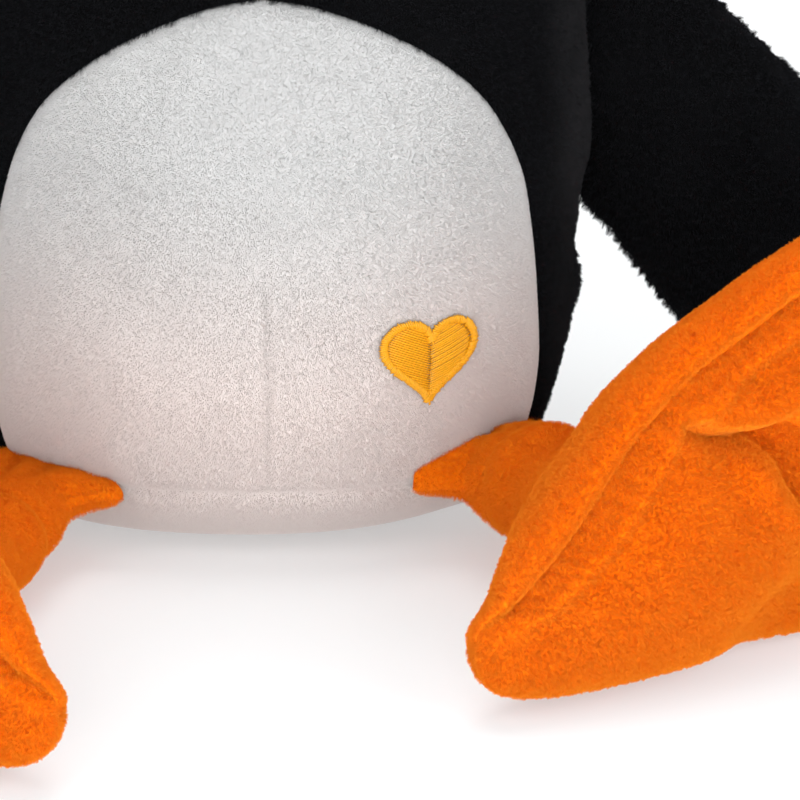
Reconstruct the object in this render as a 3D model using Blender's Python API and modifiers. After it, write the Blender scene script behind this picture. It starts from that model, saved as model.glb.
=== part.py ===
"""Seated plush penguin, 29 cm tall, as the separate sewn panels, stuffing and hardware it is made of.

Frame: metres, +Z up, origin on the ground under the middle of the body. The penguin faces -Y,
and its own left side is at +X. Dimensions below are millimetres, scaled by MM when a piece is
placed. Angles round the body are measured from the front, growing towards the penguin's left.
"""

import math
from collections import namedtuple

import bmesh
import bpy
import numpy as np
from mathutils import Matrix, Vector

for old in list(bpy.data.objects):
    bpy.data.objects.remove(old, do_unlink=True)

MM = 0.001
SIDES = ((1, "left"), (-1, "right"))   # sign of x, and the penguin's own side

# ---- cloth and filling shared by all sections ---------------------------------------------
CLOTH = 1.6                 # thickness of a sewn panel, backing and pile
LIMB_CLOTH = CLOTH * 0.8    # legs, feet and beak
WING_CLOTH = CLOTH * 0.7
SEAM_GAP = 0.7              # clearance between neighbouring panels at a seam
NECK_Z = 178.0              # top of the body panels


# ---- curves -------------------------------------------------------------------------------
def smooth(xs, ys, x):
    """Piecewise cubic through (xs, ys), evaluated at x and held level beyond the ends."""
    xs, ys = np.asarray(xs, float), np.asarray(ys, float)
    steps = np.diff(xs)
    slopes = np.diff(ys) / steps
    tangents = np.empty_like(ys)
    tangents[0], tangents[-1] = slopes[0], slopes[-1]
    tangents[1:-1] = (slopes[:-1] * steps[1:] + slopes[1:] * steps[:-1]) / (steps[1:] + steps[:-1])
    i = int(np.clip(np.searchsorted(xs, x) - 1, 0, len(xs) - 2))
    t = float(np.clip((x - xs[i]) / steps[i], 0, 1))
    return float(
        (2 * t**3 - 3 * t**2 + 1) * ys[i]
        + (t**3 - 2 * t**2 + t) * steps[i] * tangents[i]
        + (-2 * t**3 + 3 * t**2) * ys[i + 1]
        + (t**3 - t**2) * steps[i] * tangents[i + 1]
    )


def along(points, fraction):
    """Point at a fraction of the length of a smooth open path."""
    points = np.asarray(points, float)
    steps = np.linalg.norm(np.diff(points, axis=0), axis=1)
    lengths = np.concatenate([[0], np.cumsum(steps)])
    lengths /= lengths[-1]
    return np.array([smooth(lengths, column, fraction) for column in points.T])


def polar(point):
    """Angle and distance (at most 1) of a unit-sphere point seen along z."""
    return math.atan2(point.y, point.x), min(math.hypot(point.x, point.y), 1.0)


class Outline:
    """A closed outline, read as a distance from its centre in each direction."""

    STEPS = 12      # curve points between two given points

    def __init__(self, points, centre):
        points = np.asarray(points, float)
        closed = np.vstack([points[-1:], points, points[:2]])
        dense = []
        for before, start, end, after in zip(closed, closed[1:], closed[2:], closed[3:]):
            for t in np.linspace(0, 1, self.STEPS, endpoint=False):
                dense.append(0.5 * (
                    2 * start
                    + (end - before) * t
                    + (2 * before - 5 * start + 4 * end - after) * t**2
                    + (3 * start - before - 3 * end + after) * t**3
                ))
        dense = np.array(dense) - centre
        angle = np.arctan2(dense[:, 1], dense[:, 0])
        order = np.argsort(angle)
        angle = angle[order]
        self.angle = np.concatenate([angle - 2 * math.pi, angle, angle + 2 * math.pi])
        self.radius = np.tile(np.linalg.norm(dense, axis=1)[order], 3)
        self.centre = centre

    def at(self, theta, rho, inset):
        """Point in direction theta, at fraction rho of the way to the inset outline."""
        reach = max(float(np.interp(theta, self.angle, self.radius)) - inset, 1.0) * rho
        return self.centre[0] + reach * math.cos(theta), self.centre[1] + reach * math.sin(theta)


# ---- collections and materials ------------------------------------------------------------
parts = bpy.data.collections.new("plush_penguin")
cutters = bpy.data.collections.new("cutters")
for group in (parts, cutters):
    bpy.context.scene.collection.children.link(group)
cutters.hide_render = True


def material(name, colour, roughness):
    made = bpy.data.materials.new(name)
    made.use_nodes = True
    shader = made.node_tree.nodes["Principled BSDF"]
    shader.inputs["Base Color"].default_value = (*colour, 1)
    shader.inputs["Roughness"].default_value = roughness
    shader.inputs["Metallic"].default_value = 0.0
    made.diffuse_color = (*colour, 1)
    return made


BLACK = material("black_plush", colour=(0.008, 0.008, 0.011), roughness=0.95)
WHITE = material("white_plush", colour=(0.78, 0.74, 0.71), roughness=0.95)
ORANGE = material("orange_plush", colour=(0.90, 0.16, 0.015), roughness=0.92)
FIBRE = material("polyester_fibre", colour=(0.86, 0.86, 0.84), roughness=1.0)
PELLETS = material("pellets", colour=(0.70, 0.72, 0.72), roughness=0.5)
NONWOVEN = material("nonwoven", colour=(0.80, 0.80, 0.78), roughness=0.9)
THREAD = material("emblem_thread", colour=(0.93, 0.43, 0.02), roughness=0.4)
EYE = material("eye_plastic", colour=(0.01, 0.01, 0.01), roughness=0.12)
WASHER = material("washer_plastic", colour=(0.75, 0.75, 0.73), roughness=0.4)
SATIN = material("label_satin", colour=(0.88, 0.88, 0.86), roughness=0.5)

# ---- building -----------------------------------------------------------------------------
Frame = namedtuple("Frame", "object world")    # an empty, and its place in metres


def empty(name, at, parent=None):
    made = bpy.data.objects.new(name, None)
    made.empty_display_size = 0.02
    at = Vector(at) * MM
    made.location = at
    if parent:
        made.location = at - parent.world
        made.parent = parent.object
    parts.objects.link(made)
    return Frame(made, at)


def place(name, bm, frame, colour, inside=None, thickness=0.0, group=parts):
    """Make an object from a mesh in world millimetres, with its origin at the frame's empty.

    Faces are turned to point away from inside, when given; thickness adds a wall inwards.
    """
    bm.normal_update()
    if inside is not None:
        centre = Vector(inside)
        outward = sum(face.normal.dot(face.calc_center_median() - centre) * face.calc_area()
                      for face in bm.faces)
        if outward < 0:
            bmesh.ops.reverse_faces(bm, faces=bm.faces)
    bm.transform(Matrix.Scale(MM, 4))
    bm.transform(Matrix.Translation(-frame.world))
    mesh = bpy.data.meshes.new(name)
    bm.to_mesh(mesh)
    bm.free()
    mesh.shade_smooth()
    mesh.materials.append(colour)
    made = bpy.data.objects.new(name, mesh)
    made.parent = frame.object
    group.objects.link(made)
    if thickness:
        wall = made.modifiers.new("wall", "SOLIDIFY")
        wall.thickness = thickness * MM
        wall.offset = -1
    return made


def unit_sphere(segments, rings):
    bm = bmesh.new()
    bmesh.ops.create_uvsphere(bm, u_segments=segments, v_segments=rings, radius=1)
    return bm


def lay(bm, mapping):
    """Move every vertex to where mapping sends it."""
    for vert in bm.verts:
        vert.co = mapping(vert.co.copy())


def trim(bm, at, normal):
    """Cut away what lies beyond a plane, on the side its normal points to."""
    bmesh.ops.bisect_plane(bm, geom=bm.verts[:] + bm.edges[:] + bm.faces[:], dist=1e-5,
                           plane_co=at, plane_no=normal, clear_outer=True)


def cap(bm):
    bmesh.ops.holes_fill(bm, edges=[edge for edge in bm.edges if edge.is_boundary])


def sheet(name, across, up, mapping, frame, colour, inside, thickness=CLOTH, closed=False):
    """A sewn panel: a grid laid on a form by mapping(-1..1, -1..1), then given a wall.

    closed welds edges that meet.
    """
    bm = bmesh.new()
    bmesh.ops.create_grid(bm, x_segments=across, y_segments=up, size=1)
    lay(bm, lambda point: mapping(point.x, point.y))
    if closed:
        bmesh.ops.remove_doubles(bm, verts=bm.verts, dist=1e-3)
    place(name, bm, frame, colour, inside, thickness)


def ball(name, segments, rings, mapping, frame, colour, inside, half=0, thickness=0.0):
    """A sphere laid on a form; half keeps one side of its equator as an open shell."""
    bm = unit_sphere(segments, rings)
    if half:
        gone = [vert for vert in bm.verts if vert.co.z * half < -1e-4]
        bmesh.ops.delete(bm, geom=gone, context="VERTS")
        for vert in bm.verts:
            if abs(vert.co.z) < 1e-4:
                vert.co.z = 1e-5 * half     # the sign tells mappings which half the rim is on
    lay(bm, mapping)
    place(name, bm, frame, colour, inside, thickness)


# ---- body form ----------------------------------------------------------------------------
# columns: height, half width, depth to the front, depth to the back
BODY = (
    (0, 50, 30, 42), (4, 60, 43, 50), (10, 66.5, 52.5, 57), (19, 72, 60, 63),
    (30, 76.5, 65.5, 68), (45, 79.6, 70, 71), (62, 80.6, 72, 73), (80, 80.9, 72.5, 73.5),
    (100, 81, 70.5, 72), (120, 80.4, 65, 69), (140, 77.6, 56.5, 63), (156, 71, 49, 55.5),
    (168, 61, 44, 49), (178, 50, 42, 43),
)
BODY_HEIGHTS, BODY_WIDTHS, BODY_FRONTS, BODY_BACKS = zip(*BODY)
SQUARENESS = 0.05           # how much fuller than an ellipse a level section is
BODY_MIDDLE = (0, 0, 80)

BASE_SEAM_Z = 18.8          # seam between base panel and belly, at the front
BASE_SEAM_RISE = 2.5        # how much higher it runs at the sides
BASE_CLEARANCE = SEAM_GAP + 0.3
BASE_BLEND = 25.0           # height over which panel rows stop following the seam
SIDE_SEAM = math.radians(97.0)

# columns: height, then degrees round from the front to the belly's edge
BELLY = (
    (19, 60), (30, 59.5), (45, 57), (60, 55), (75, 53.5), (90, 50.5), (105, 45.5),
    (115, 39.8), (124, 31), (130, 22.5), (134.5, 13.5), (138, 6),
)
BELLY_HEIGHTS, BELLY_EDGES = zip(*BELLY)
ROW_CROWDING = 0.93         # power that spaces the belly rows
CHEST_Z = 140.0 + 0.6       # where the side panels start to meet in front, above the belly
SIDE_BELLY_SHARE = 0.76     # share of a side panel's rows that run beside the belly

# half or whole seam gaps, as angles at the nearby radius of the body
BELLY_GAP = SEAM_GAP / 70
CHEST_HALF_GAP = SEAM_GAP / 2 / 50
SIDE_HALF_GAP = SEAM_GAP / 2 / 78
BACK_HALF_GAP = SEAM_GAP / 2 / 60


def body(turn, z, inset=0.0):
    """Point on the body at an angle round from the front, in radians, and a height."""
    wide = smooth(BODY_HEIGHTS, BODY_WIDTHS, z) - inset
    front = smooth(BODY_HEIGHTS, BODY_FRONTS, z)
    back = smooth(BODY_HEIGHTS, BODY_BACKS, z)
    sine, cosine = math.sin(turn), math.cos(turn)
    deep = front * (1 + cosine) / 2 + back * (1 - cosine) / 2 - inset
    return Vector((wide * sine * (1 + SQUARENESS * cosine * cosine),
                   -deep * cosine * (1 + SQUARENESS * sine * sine), z))


def base_seam(turn):
    return BASE_SEAM_Z + BASE_SEAM_RISE * math.sin(turn) ** 2


def belly_edge(z):
    return math.radians(smooth(BELLY_HEIGHTS, BELLY_EDGES, z))


def belly_height(v):
    """Height of a belly row, 0 at the base seam and 1 at the top; rows close up towards the top."""
    rise = math.sin(v * math.pi / 2) ** ROW_CROWDING
    return BASE_SEAM_Z + (BELLY_HEIGHTS[-1] - BASE_SEAM_Z) * rise


def clear_of_base(z, turn):
    """Raise a low row so that the lowest one follows the base seam."""
    lift = base_seam(turn) + BASE_CLEARANCE - BASE_SEAM_Z
    return z + lift * max(0.0, 1 - (z - BASE_SEAM_Z) / BASE_BLEND)


# ---- body panels --------------------------------------------------------------------------
def belly_point(x, y):
    z = belly_height((y + 1) / 2)
    turn = x * belly_edge(z)
    return body(turn, clear_of_base(z, turn))


def side_point(side, x, y):
    """From the belly's edge, or the middle of the chest above it, round to the side seam."""
    across, v = (x + 1) / 2, (y + 1) / 2
    if v <= SIDE_BELLY_SHARE + 1e-6:
        z = belly_height(min(v / SIDE_BELLY_SHARE, 1.0))
        inner = belly_edge(z) + BELLY_GAP
        z = clear_of_base(z, inner)
    else:
        share = (v - SIDE_BELLY_SHARE) / (1 - SIDE_BELLY_SHARE)
        z = CHEST_Z + (NECK_Z - CHEST_Z) * share
        inner = CHEST_HALF_GAP
    outer = SIDE_SEAM - SIDE_HALF_GAP
    low = base_seam(outer) + BASE_CLEARANCE
    far = low + (NECK_Z - low) * v
    return body(side * (inner + (outer - inner) * across), z + (far - z) * across)


def back_point(side, x, y):
    """From the side seam round to the middle of the back."""
    across, v = (x + 1) / 2, (y + 1) / 2
    inner = SIDE_SEAM + SIDE_HALF_GAP
    turn = inner + (math.pi - BACK_HALF_GAP - inner) * across
    low = base_seam(turn) + BASE_CLEARANCE
    return body(side * turn, low + (NECK_Z - low) * v)


def base_point(point):
    """Flat on the ground in the middle, then up to the base seam."""
    flat_share = 0.5        # share of the way out that lies on the ground
    curl = 1.2              # power of the climb from there
    turn = math.atan2(point.x, -point.y)
    out = 1 - math.asin(min(abs(point.z), 1.0)) / (math.pi / 2)
    if out <= flat_share + 1e-6:
        rim = body(turn, 0)
        return Vector((rim.x * out / flat_share, rim.y * out / flat_share, 0))
    return body(turn, base_seam(turn) * ((out - flat_share) / (1 - flat_share)) ** curl)


def body_panels(torso):
    sheet("belly_panel", 9, 10, belly_point, torso, WHITE, BODY_MIDDLE)
    for side, word in SIDES:
        sheet(f"side_panel_{word}", 5, 13, lambda x, y: side_point(side, x, y),
              torso, BLACK, BODY_MIDDLE)
        sheet(f"back_panel_{word}", 5, 9, lambda x, y: back_point(side, x, y),
              torso, BLACK, BODY_MIDDLE)
    ball("base_panel", 30, 12, base_point, torso, WHITE, (0, 0, 40), half=-1, thickness=CLOTH)


# ---- body filling -------------------------------------------------------------------------
STUFFING_LOW, STUFFING_HIGH = 31, 175
STUFFING_INSET = 6.0
STUFFING_BLUNTNESS = 5      # power of the rounding at top and bottom
POUCH_CENTRE = (0, 4, 16.5)


def body_stuffing_point(point):
    level = max(-1.0, min(1.0, point.z))
    z = STUFFING_LOW + (STUFFING_HIGH - STUFFING_LOW) * (1 + level) / 2
    reach = max(1 - abs(level) ** STUFFING_BLUNTNESS, 0.0) ** (1 / STUFFING_BLUNTNESS)
    rim = body(math.atan2(point.x, -point.y), z, STUFFING_INSET)
    return Vector((rim.x * reach, rim.y * reach, z))


def pillow(wide, deep, high, gap):
    """An ellipsoid about the pouch centre, its two halves moved apart by gap each."""
    _, y, z = POUCH_CENTRE

    def mapping(point):
        return Vector((wide * point.x, y + deep * point.y,
                       z + high * point.z + math.copysign(gap, point.z)))

    return mapping


def body_filling(torso):
    ball("body_stuffing", 20, 12, body_stuffing_point, torso, FIBRE, BODY_MIDDLE)
    pouch = pillow(wide=50, deep=38, high=10.5, gap=0.9)
    for half, word in ((1, "upper"), (-1, "lower")):
        ball(f"pellet_pouch_{word}", 18, 6, pouch, torso, NONWOVEN, POUCH_CENTRE,
             half=half, thickness=0.7)
    fill = pillow(wide=47, deep=35, high=8, gap=0)
    ball("pellet_fill", 16, 8, fill, torso, PELLETS, POUCH_CENTRE)


# ---- care label ---------------------------------------------------------------------------
LABEL_L, LABEL_T, LABEL_H = 16, 0.9, 12     # length outwards, thickness, height
LABEL_TURN, LABEL_Z = math.radians(128), 33
LABEL_OUT = 9.6                             # from the body's surface to the label's middle
LABEL_BEVEL = 0.25


def care_label(torso):
    """Blank ribbon standing out of the back, on the penguin's left."""
    bm = bmesh.new()
    bmesh.ops.create_cube(bm, size=1)
    bmesh.ops.scale(bm, vec=(LABEL_L, LABEL_T, LABEL_H), verts=bm.verts)
    upright = [edge for edge in bm.edges
               if abs(edge.verts[0].co.z - edge.verts[1].co.z) > LABEL_H / 2]
    bmesh.ops.bevel(bm, geom=upright, offset=LABEL_BEVEL, segments=1, affect="EDGES")
    root = body(LABEL_TURN, LABEL_Z)
    out = Vector((root.x, root.y, 0)).normalized()
    bm.transform(Matrix.Translation(root + out * LABEL_OUT)
                 @ Matrix.Rotation(math.atan2(out.y, out.x), 4, "Z"))
    place("care_label", bm, torso, SATIN)


# ---- embroidered heart, low on the penguin's left of the belly ----------------------------
EMBLEM_TURN, EMBLEM_Z, EMBLEM_R = math.radians(28.0), 54.0, 11.5
EMBLEM_BODY_R = 74          # body radius used to turn widths into angles
EMBLEM_LIFT, EMBLEM_T = 0.95, 0.45          # middle above the belly, half thickness
HEART_SAMPLES = 240
HEART_W = 16                # half width of the heart curve, in its own units


def heart_outline():
    """Direction and distance of each point of a heart from its middle; half width is 1."""
    outline = []
    for k in range(HEART_SAMPLES):
        t = k / HEART_SAMPLES * 2 * math.pi
        x = HEART_W * math.sin(t) ** 3
        y = 13 * math.cos(t) - 5 * math.cos(2 * t) - 2 * math.cos(3 * t) - math.cos(4 * t) + 2
        outline.append((math.atan2(y, x), math.hypot(x, y) / HEART_W))
    return outline


def belly_emblem(torso):
    outline = heart_outline()

    def mapping(point):
        theta, rho = polar(point)

        def angle_away(sample):
            return abs((sample[0] - theta + math.pi) % (2 * math.pi) - math.pi)

        reach = min(outline, key=angle_away)[1] * EMBLEM_R * rho
        x, z = reach * math.cos(theta), reach * math.sin(theta)
        skin = body(EMBLEM_TURN + x / EMBLEM_BODY_R, EMBLEM_Z + z)
        out = Vector((skin.x, skin.y, 0)).normalized()
        return skin + out * (EMBLEM_LIFT + EMBLEM_T * point.z)

    ball("belly_emblem", 20, 6, mapping, torso, THREAD, body(EMBLEM_TURN, EMBLEM_Z))


# ---- head ---------------------------------------------------------------------------------
HEAD_Z = 232.0              # centre height
HEAD_W, HEAD_D = 66.0, 60.0                 # half width, half depth
HEAD_UP, HEAD_DOWN = 58.0, 72.0             # reach above and below the centre
HEAD_POWER = 2.3            # 2 would be an ellipsoid; more is squarer
HEAD_MIDDLE = Vector((0, 0, HEAD_Z))
NECK_GAP = 1.6
GUSSET = 14.0               # half width of the strip over the crown
HEAD_STUFFING_INSET = 9.5
HEAD_STUFFING_GAP = 6       # from the neck up to the stuffing

# white patch round each eye, in degrees on the head: centre, then half spans
FACE_LON, FACE_LAT, FACE_HALF_LON, FACE_HALF_LAT = 25.5, 2.0, 23.5, 33.0
FACE_LIFT = 2.2             # outer surface of the patch above the head panels


def head(direction, offset=0.0):
    """Point on the head in a direction from its centre."""
    d = direction.normalized()
    high = HEAD_UP if d.z > 0 else HEAD_DOWN
    total = (abs(d.x / HEAD_W) ** HEAD_POWER + abs(d.y / HEAD_D) ** HEAD_POWER
             + abs(d.z / high) ** HEAD_POWER)
    return HEAD_MIDDLE + d * (total ** (-1 / HEAD_POWER) + offset)


def facing(lon, lat):
    """Direction from degrees round from the front and degrees up."""
    lon, lat = math.radians(lon), math.radians(lat)
    return Vector((math.sin(lon) * math.cos(lat), -math.cos(lon) * math.cos(lat), math.sin(lat)))


def head_form(segments, rings, offset, neck_gap, side_cuts=()):
    """The head as a sphere with its poles at the sides, cut at the neck.

    side_cuts holds (x, sign) pairs: each takes away what lies beyond x towards sign.
    """
    bm = unit_sphere(segments, rings)
    bm.transform(Matrix.Rotation(math.pi / 2, 4, "Y"))
    lay(bm, lambda point: head(point, offset))
    trim(bm, (0, 0, NECK_Z + neck_gap), (0, 0, -1))
    for x, sign in side_cuts:
        trim(bm, (x, 0, 0), (sign, 0, 0))
    return bm


def face_point(side, point):
    theta, rho = polar(point)
    lat = FACE_LAT + FACE_HALF_LAT * rho * math.sin(theta)
    lon = FACE_LON + FACE_HALF_LON * rho * math.cos(theta)
    return head(facing(side * lon, lat), FACE_LIFT)


def head_pieces(skull):
    for side, word in SIDES:
        bm = head_form(18, 12, 0, NECK_GAP, [(side * (GUSSET + SEAM_GAP / 2), -side)])
        place(f"head_panel_{word}", bm, skull, BLACK, HEAD_MIDDLE, CLOTH)
    half = GUSSET - SEAM_GAP / 2
    bm = head_form(18, 12, 0, NECK_GAP, [(half, 1), (-half, -1)])
    place("head_gusset", bm, skull, BLACK, HEAD_MIDDLE, CLOTH)

    bm = head_form(16, 10, -HEAD_STUFFING_INSET, HEAD_STUFFING_GAP)
    cap(bm)
    place("head_stuffing", bm, skull, FIBRE, HEAD_MIDDLE)

    for side, word in SIDES:
        ball(f"face_panel_{word}", 18, 6, lambda point: face_point(side, point), skull, WHITE,
             HEAD_MIDDLE, half=1, thickness=CLOTH)


# ---- beak ---------------------------------------------------------------------------------
BEAK_Z, BEAK_W, BEAK_H, BEAK_L = 221.0, 13.5, 9.5, 25.0     # W and H are half sizes
BEAK_LOWER_SHARE = 0.84     # length of the lower half over the upper
BEAK_Y = -(HEAD_D + 4.4)    # root of the beak
BEAK_DROOP = 2.5            # how far the tip hangs
BEAK_PARTING = 1.0          # each half's shift away from the parting
BEAK_STUFFING_INSET = 5.2


def beak_point(part, point, inset=0.0):
    """The sphere's +z runs out along the beak; part is +1 upper, -1 lower, 0 whole."""
    share = 1 if part >= 0 else BEAK_LOWER_SHARE
    length = BEAK_L * share - 1.6 * inset
    out = max(point.z, 0.0)
    x = (BEAK_W - inset) * point.x
    z = (BEAK_H - inset) * point.y
    return Vector((x, BEAK_Y - length * out,
                   BEAK_Z + z - BEAK_DROOP * out**2 + BEAK_PARTING * part))


def beak(skull):
    for part, word in ((1, "upper"), (-1, "lower")):
        bm = unit_sphere(20, 8)
        trim(bm, (0, 0, 0), (0, 0, -1))
        trim(bm, (0, 0, 0), (0, -part, 0))
        lay(bm, lambda point: beak_point(part, point))
        place(f"beak_{word}", bm, skull, ORANGE, (0, BEAK_Y, BEAK_Z), LIMB_CLOTH)

    bm = unit_sphere(12, 8)
    trim(bm, (0, 0, 0.02), (0, 0, -1))
    cap(bm)
    lay(bm, lambda point: beak_point(0, point, BEAK_STUFFING_INSET))
    place("beak_stuffing", bm, skull, FIBRE, (0, -HEAD_D - 8, BEAK_Z))


# ---- eyes, with heights measured outwards from the face panel -----------------------------
EYE_LON, EYE_LAT = 28.0, 10.0
EYE_R, EYE_TOP = 5.6, 4.2
EYE_UNDERSIDE, EYE_RIM = 0.5, 1.1           # flat underside, widest level
EYE_UNDERSIDE_R = EYE_R * 0.93
SHANK_R, SHANK_END = 1.6, -7.8
WASHER_R, WASHER_LOW, WASHER_HIGH = 6.5, -7.4, -6.2
BORE_R, BORE_LOW, BORE_HIGH = SHANK_R + 0.35, -9, -4.5      # hole through the washer
HOLE_R, HOLE_LOW, HOLE_HIGH = SHANK_R + 0.5, -8, 3          # hole through the cloth
EYE_AIM_POWER = 1.2         # how strongly the head's proportions turn the eye's axis


def cylinder(lower, upper, radius, stand, segments=16):
    bm = bmesh.new()
    bmesh.ops.create_cone(bm, cap_ends=True, segments=segments, radius1=radius, radius2=radius,
                          depth=upper - lower)
    bmesh.ops.translate(bm, vec=(0, 0, (lower + upper) / 2), verts=bm.verts)
    bm.transform(stand)
    return bm


def eye_moulding(stand):
    """Dome and shank in one, turned from a profile of (radius, height)."""
    profile = [(0.0, SHANK_END), (SHANK_R, SHANK_END), (SHANK_R, EYE_UNDERSIDE),
               (EYE_UNDERSIDE_R, EYE_UNDERSIDE), (EYE_R, EYE_RIM)]
    profile += [(EYE_R * math.cos(a), EYE_RIM + (EYE_TOP - EYE_RIM) * math.sin(a))
                for a in np.radians([22, 45, 67])]
    profile += [(0.0, EYE_TOP)]
    bm = bmesh.new()
    verts = [bm.verts.new((x, 0, z)) for x, z in profile]
    for start, end in zip(verts, verts[1:]):
        bm.edges.new((start, end))
    bmesh.ops.spin(bm, geom=bm.verts[:] + bm.edges[:], cent=(0, 0, 0), axis=(0, 0, 1),
                   angle=2 * math.pi, steps=16, use_merge=True, use_duplicate=False)
    bmesh.ops.remove_doubles(bm, verts=bm.verts, dist=1e-4)
    bmesh.ops.recalc_face_normals(bm, faces=bm.faces)
    bm.transform(stand)
    return bm


def hidden_cutter(name, bm, frame, colour):
    made = place(name, bm, frame, colour, group=cutters)
    made.hide_render = True
    made.display_type = "WIRE"
    return made


def cut_hole(target, cutter):
    cut = target.modifiers.new("shank_hole", "BOOLEAN")
    cut.operation = "DIFFERENCE"
    cut.solver = "EXACT"
    cut.object = cutter


def eye(side, word, skull):
    """Eye, its washer inside the head, and the holes its shank passes through."""
    look = facing(side * EYE_LON, EYE_LAT)
    aim = Vector((look.x / HEAD_W**EYE_AIM_POWER, look.y / HEAD_D**EYE_AIM_POWER,
                  look.z / HEAD_UP**EYE_AIM_POWER)).normalized()
    stand = (Matrix.Translation(head(look, FACE_LIFT))
             @ aim.to_track_quat("Z", "Y").to_matrix().to_4x4())

    place(f"eye_{word}", eye_moulding(stand), skull, EYE)
    washer = place(f"eye_washer_{word}", cylinder(WASHER_LOW, WASHER_HIGH, WASHER_R, stand),
                   skull, WASHER)
    bore = hidden_cutter(f"washer_bore_{word}", cylinder(BORE_LOW, BORE_HIGH, BORE_R, stand),
                         skull, WASHER)
    hole = hidden_cutter(f"eye_hole_{word}", cylinder(HOLE_LOW, HOLE_HIGH, HOLE_R, stand, 12),
                         skull, EYE)
    cut_hole(washer, bore)
    for panel in ("face_panel", "head_panel"):
        cut_hole(bpy.data.objects[f"{panel}_{word}"], hole)


# ---- wings --------------------------------------------------------------------------------
# outline of the left wing in the plane across the body: x then z, from the bottom of the root
# up to the shoulder, then out and round the tip
WING = (
    (82.5, 73), (82, 98), (80, 125), (76.5, 146), (84, 153), (98, 144), (115.6, 128),
    (127, 117), (138, 106.5), (152, 91), (164, 71), (167, 52), (160, 38.5), (146, 31),
    (130, 30.5), (115, 34.5), (106, 42.5), (98, 52), (90, 62.5),
)
WING_CENTRE = (118.0, 88.0)
WING_Y = 15.0
WING_T = 7.5                # half thickness
WING_ROOT_SHARE = 0.42      # thickness at the root over full thickness
WING_ROOT_X, WING_ROOT_L = 82, 26           # where the thickening starts, and over what length
WING_LIFT = 1.3             # shift of each panel away from the middle plane
WING_STUFFING_INSET = 4.2
WING_JOINT = (82.5, WING_Y, 115)            # middle of the left wing's root
wing_outline = Outline(WING, WING_CENTRE)


def wing_point(side, point, inset=0.0, lift=0.0):
    """A unit-sphere point laid onto a wing; +z of the sphere is the front."""
    x, z = wing_outline.at(*polar(point), inset)
    root = min(max((x - WING_ROOT_X) / WING_ROOT_L, 0.0), 1.0)
    share = WING_ROOT_SHARE + (1 - WING_ROOT_SHARE) * math.sin(root * math.pi / 2)
    thick = (WING_T - inset) * share
    return Vector((side * x, WING_Y - thick * point.z - math.copysign(lift, point.z), z))


def wing(side, word, torso):
    x, y, z = WING_JOINT
    frame = empty(f"wing_axis_{word}", (side * x, y, z), torso)
    centre = (side * WING_CENTRE[0], WING_Y, WING_CENTRE[1])
    for half, which in ((1, "front"), (-1, "back")):
        ball(f"wing_{word}_{which}_panel", 22, 8,
             lambda point: wing_point(side, point, lift=WING_LIFT),
             frame, BLACK, centre, half=half, thickness=WING_CLOTH)
    ball(f"wing_{word}_stuffing", 18, 6,
         lambda point: wing_point(side, point, inset=WING_STUFFING_INSET), frame, FIBRE, centre)


# ---- legs ---------------------------------------------------------------------------------
# centre lines, root to ankle: x, y, z
LEG_LEFT = ((56.6, -43.4, 20.5), (64, -57, 20.5), (71.5, -75, 21.5), (76.5, -92, 24),
            (79.5, -105.5, 26))
LEG_RIGHT = ((-56.6, -43.4, 20.5), (-62, -58, 20), (-68, -85, 20.5), (-73.5, -117, 23.5),
             (-79.5, -144.5, 26))
LEG_R = 16.5
LEG_ROOT_W, LEG_ROOT_T = 21.0, 2.0          # half width and half thickness of the flattened root
LEG_ROOT_OUT = (0.70, -0.714, 0.0)          # direction the left leg leaves the body in
LEG_TURN_SHARE = 0.25       # share of the leg over which that direction gives way to the path's
LEG_GROW_SHARE = 0.30       # share over which the root rounds out
LEG_CLOSE_SHARE = 0.28      # share over which the leg narrows to the ankle
LEG_MIN_T = 0.6             # least half thickness
ANKLE_R = 8.0
ANKLE_GAP = 6.5             # from the end of the leg cover to the axis in the foot
ANKLE_OUT = (0.57, -0.8216, 0)              # direction of that gap on the left leg
LEG_STUFFING_MIDDLE, LEG_STUFFING_REACH = 0.55, 0.38        # as shares of the leg
LEG_STUFFING_INSET = 3.4


def leg_point(path, side, share, turn, inset=0.0):
    """Point on a leg at a share of the way from root to ankle."""
    ahead = along(path, min(share + 0.02, 1.0)) - along(path, max(share - 0.02, 0.0))
    if share < LEG_TURN_SHARE:
        blend = share / LEG_TURN_SHARE
        out = np.array(LEG_ROOT_OUT) * (side, 1, 1)
        ahead = out * (1 - blend) + ahead / np.linalg.norm(ahead) * blend
    ahead = Vector(ahead).normalized()
    across = Vector((0, 0, 1)).cross(ahead).normalized()
    up = ahead.cross(across)
    grow = math.sin(min(share / LEG_GROW_SHARE, 1.0) * math.pi / 2)
    close = max(0.0, (share - (1 - LEG_CLOSE_SHARE)) / LEG_CLOSE_SHARE)
    fade = 1 - (1 - ANKLE_R / LEG_R) * close**2
    wide = (LEG_ROOT_W + (LEG_R - LEG_ROOT_W) * grow) * fade - inset
    high = (LEG_ROOT_T + (LEG_R - LEG_ROOT_T) * grow) * fade - inset
    return (Vector(along(path, share)) + across * (wide * math.cos(turn))
            + up * (max(high, LEG_MIN_T) * math.sin(turn)))


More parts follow.
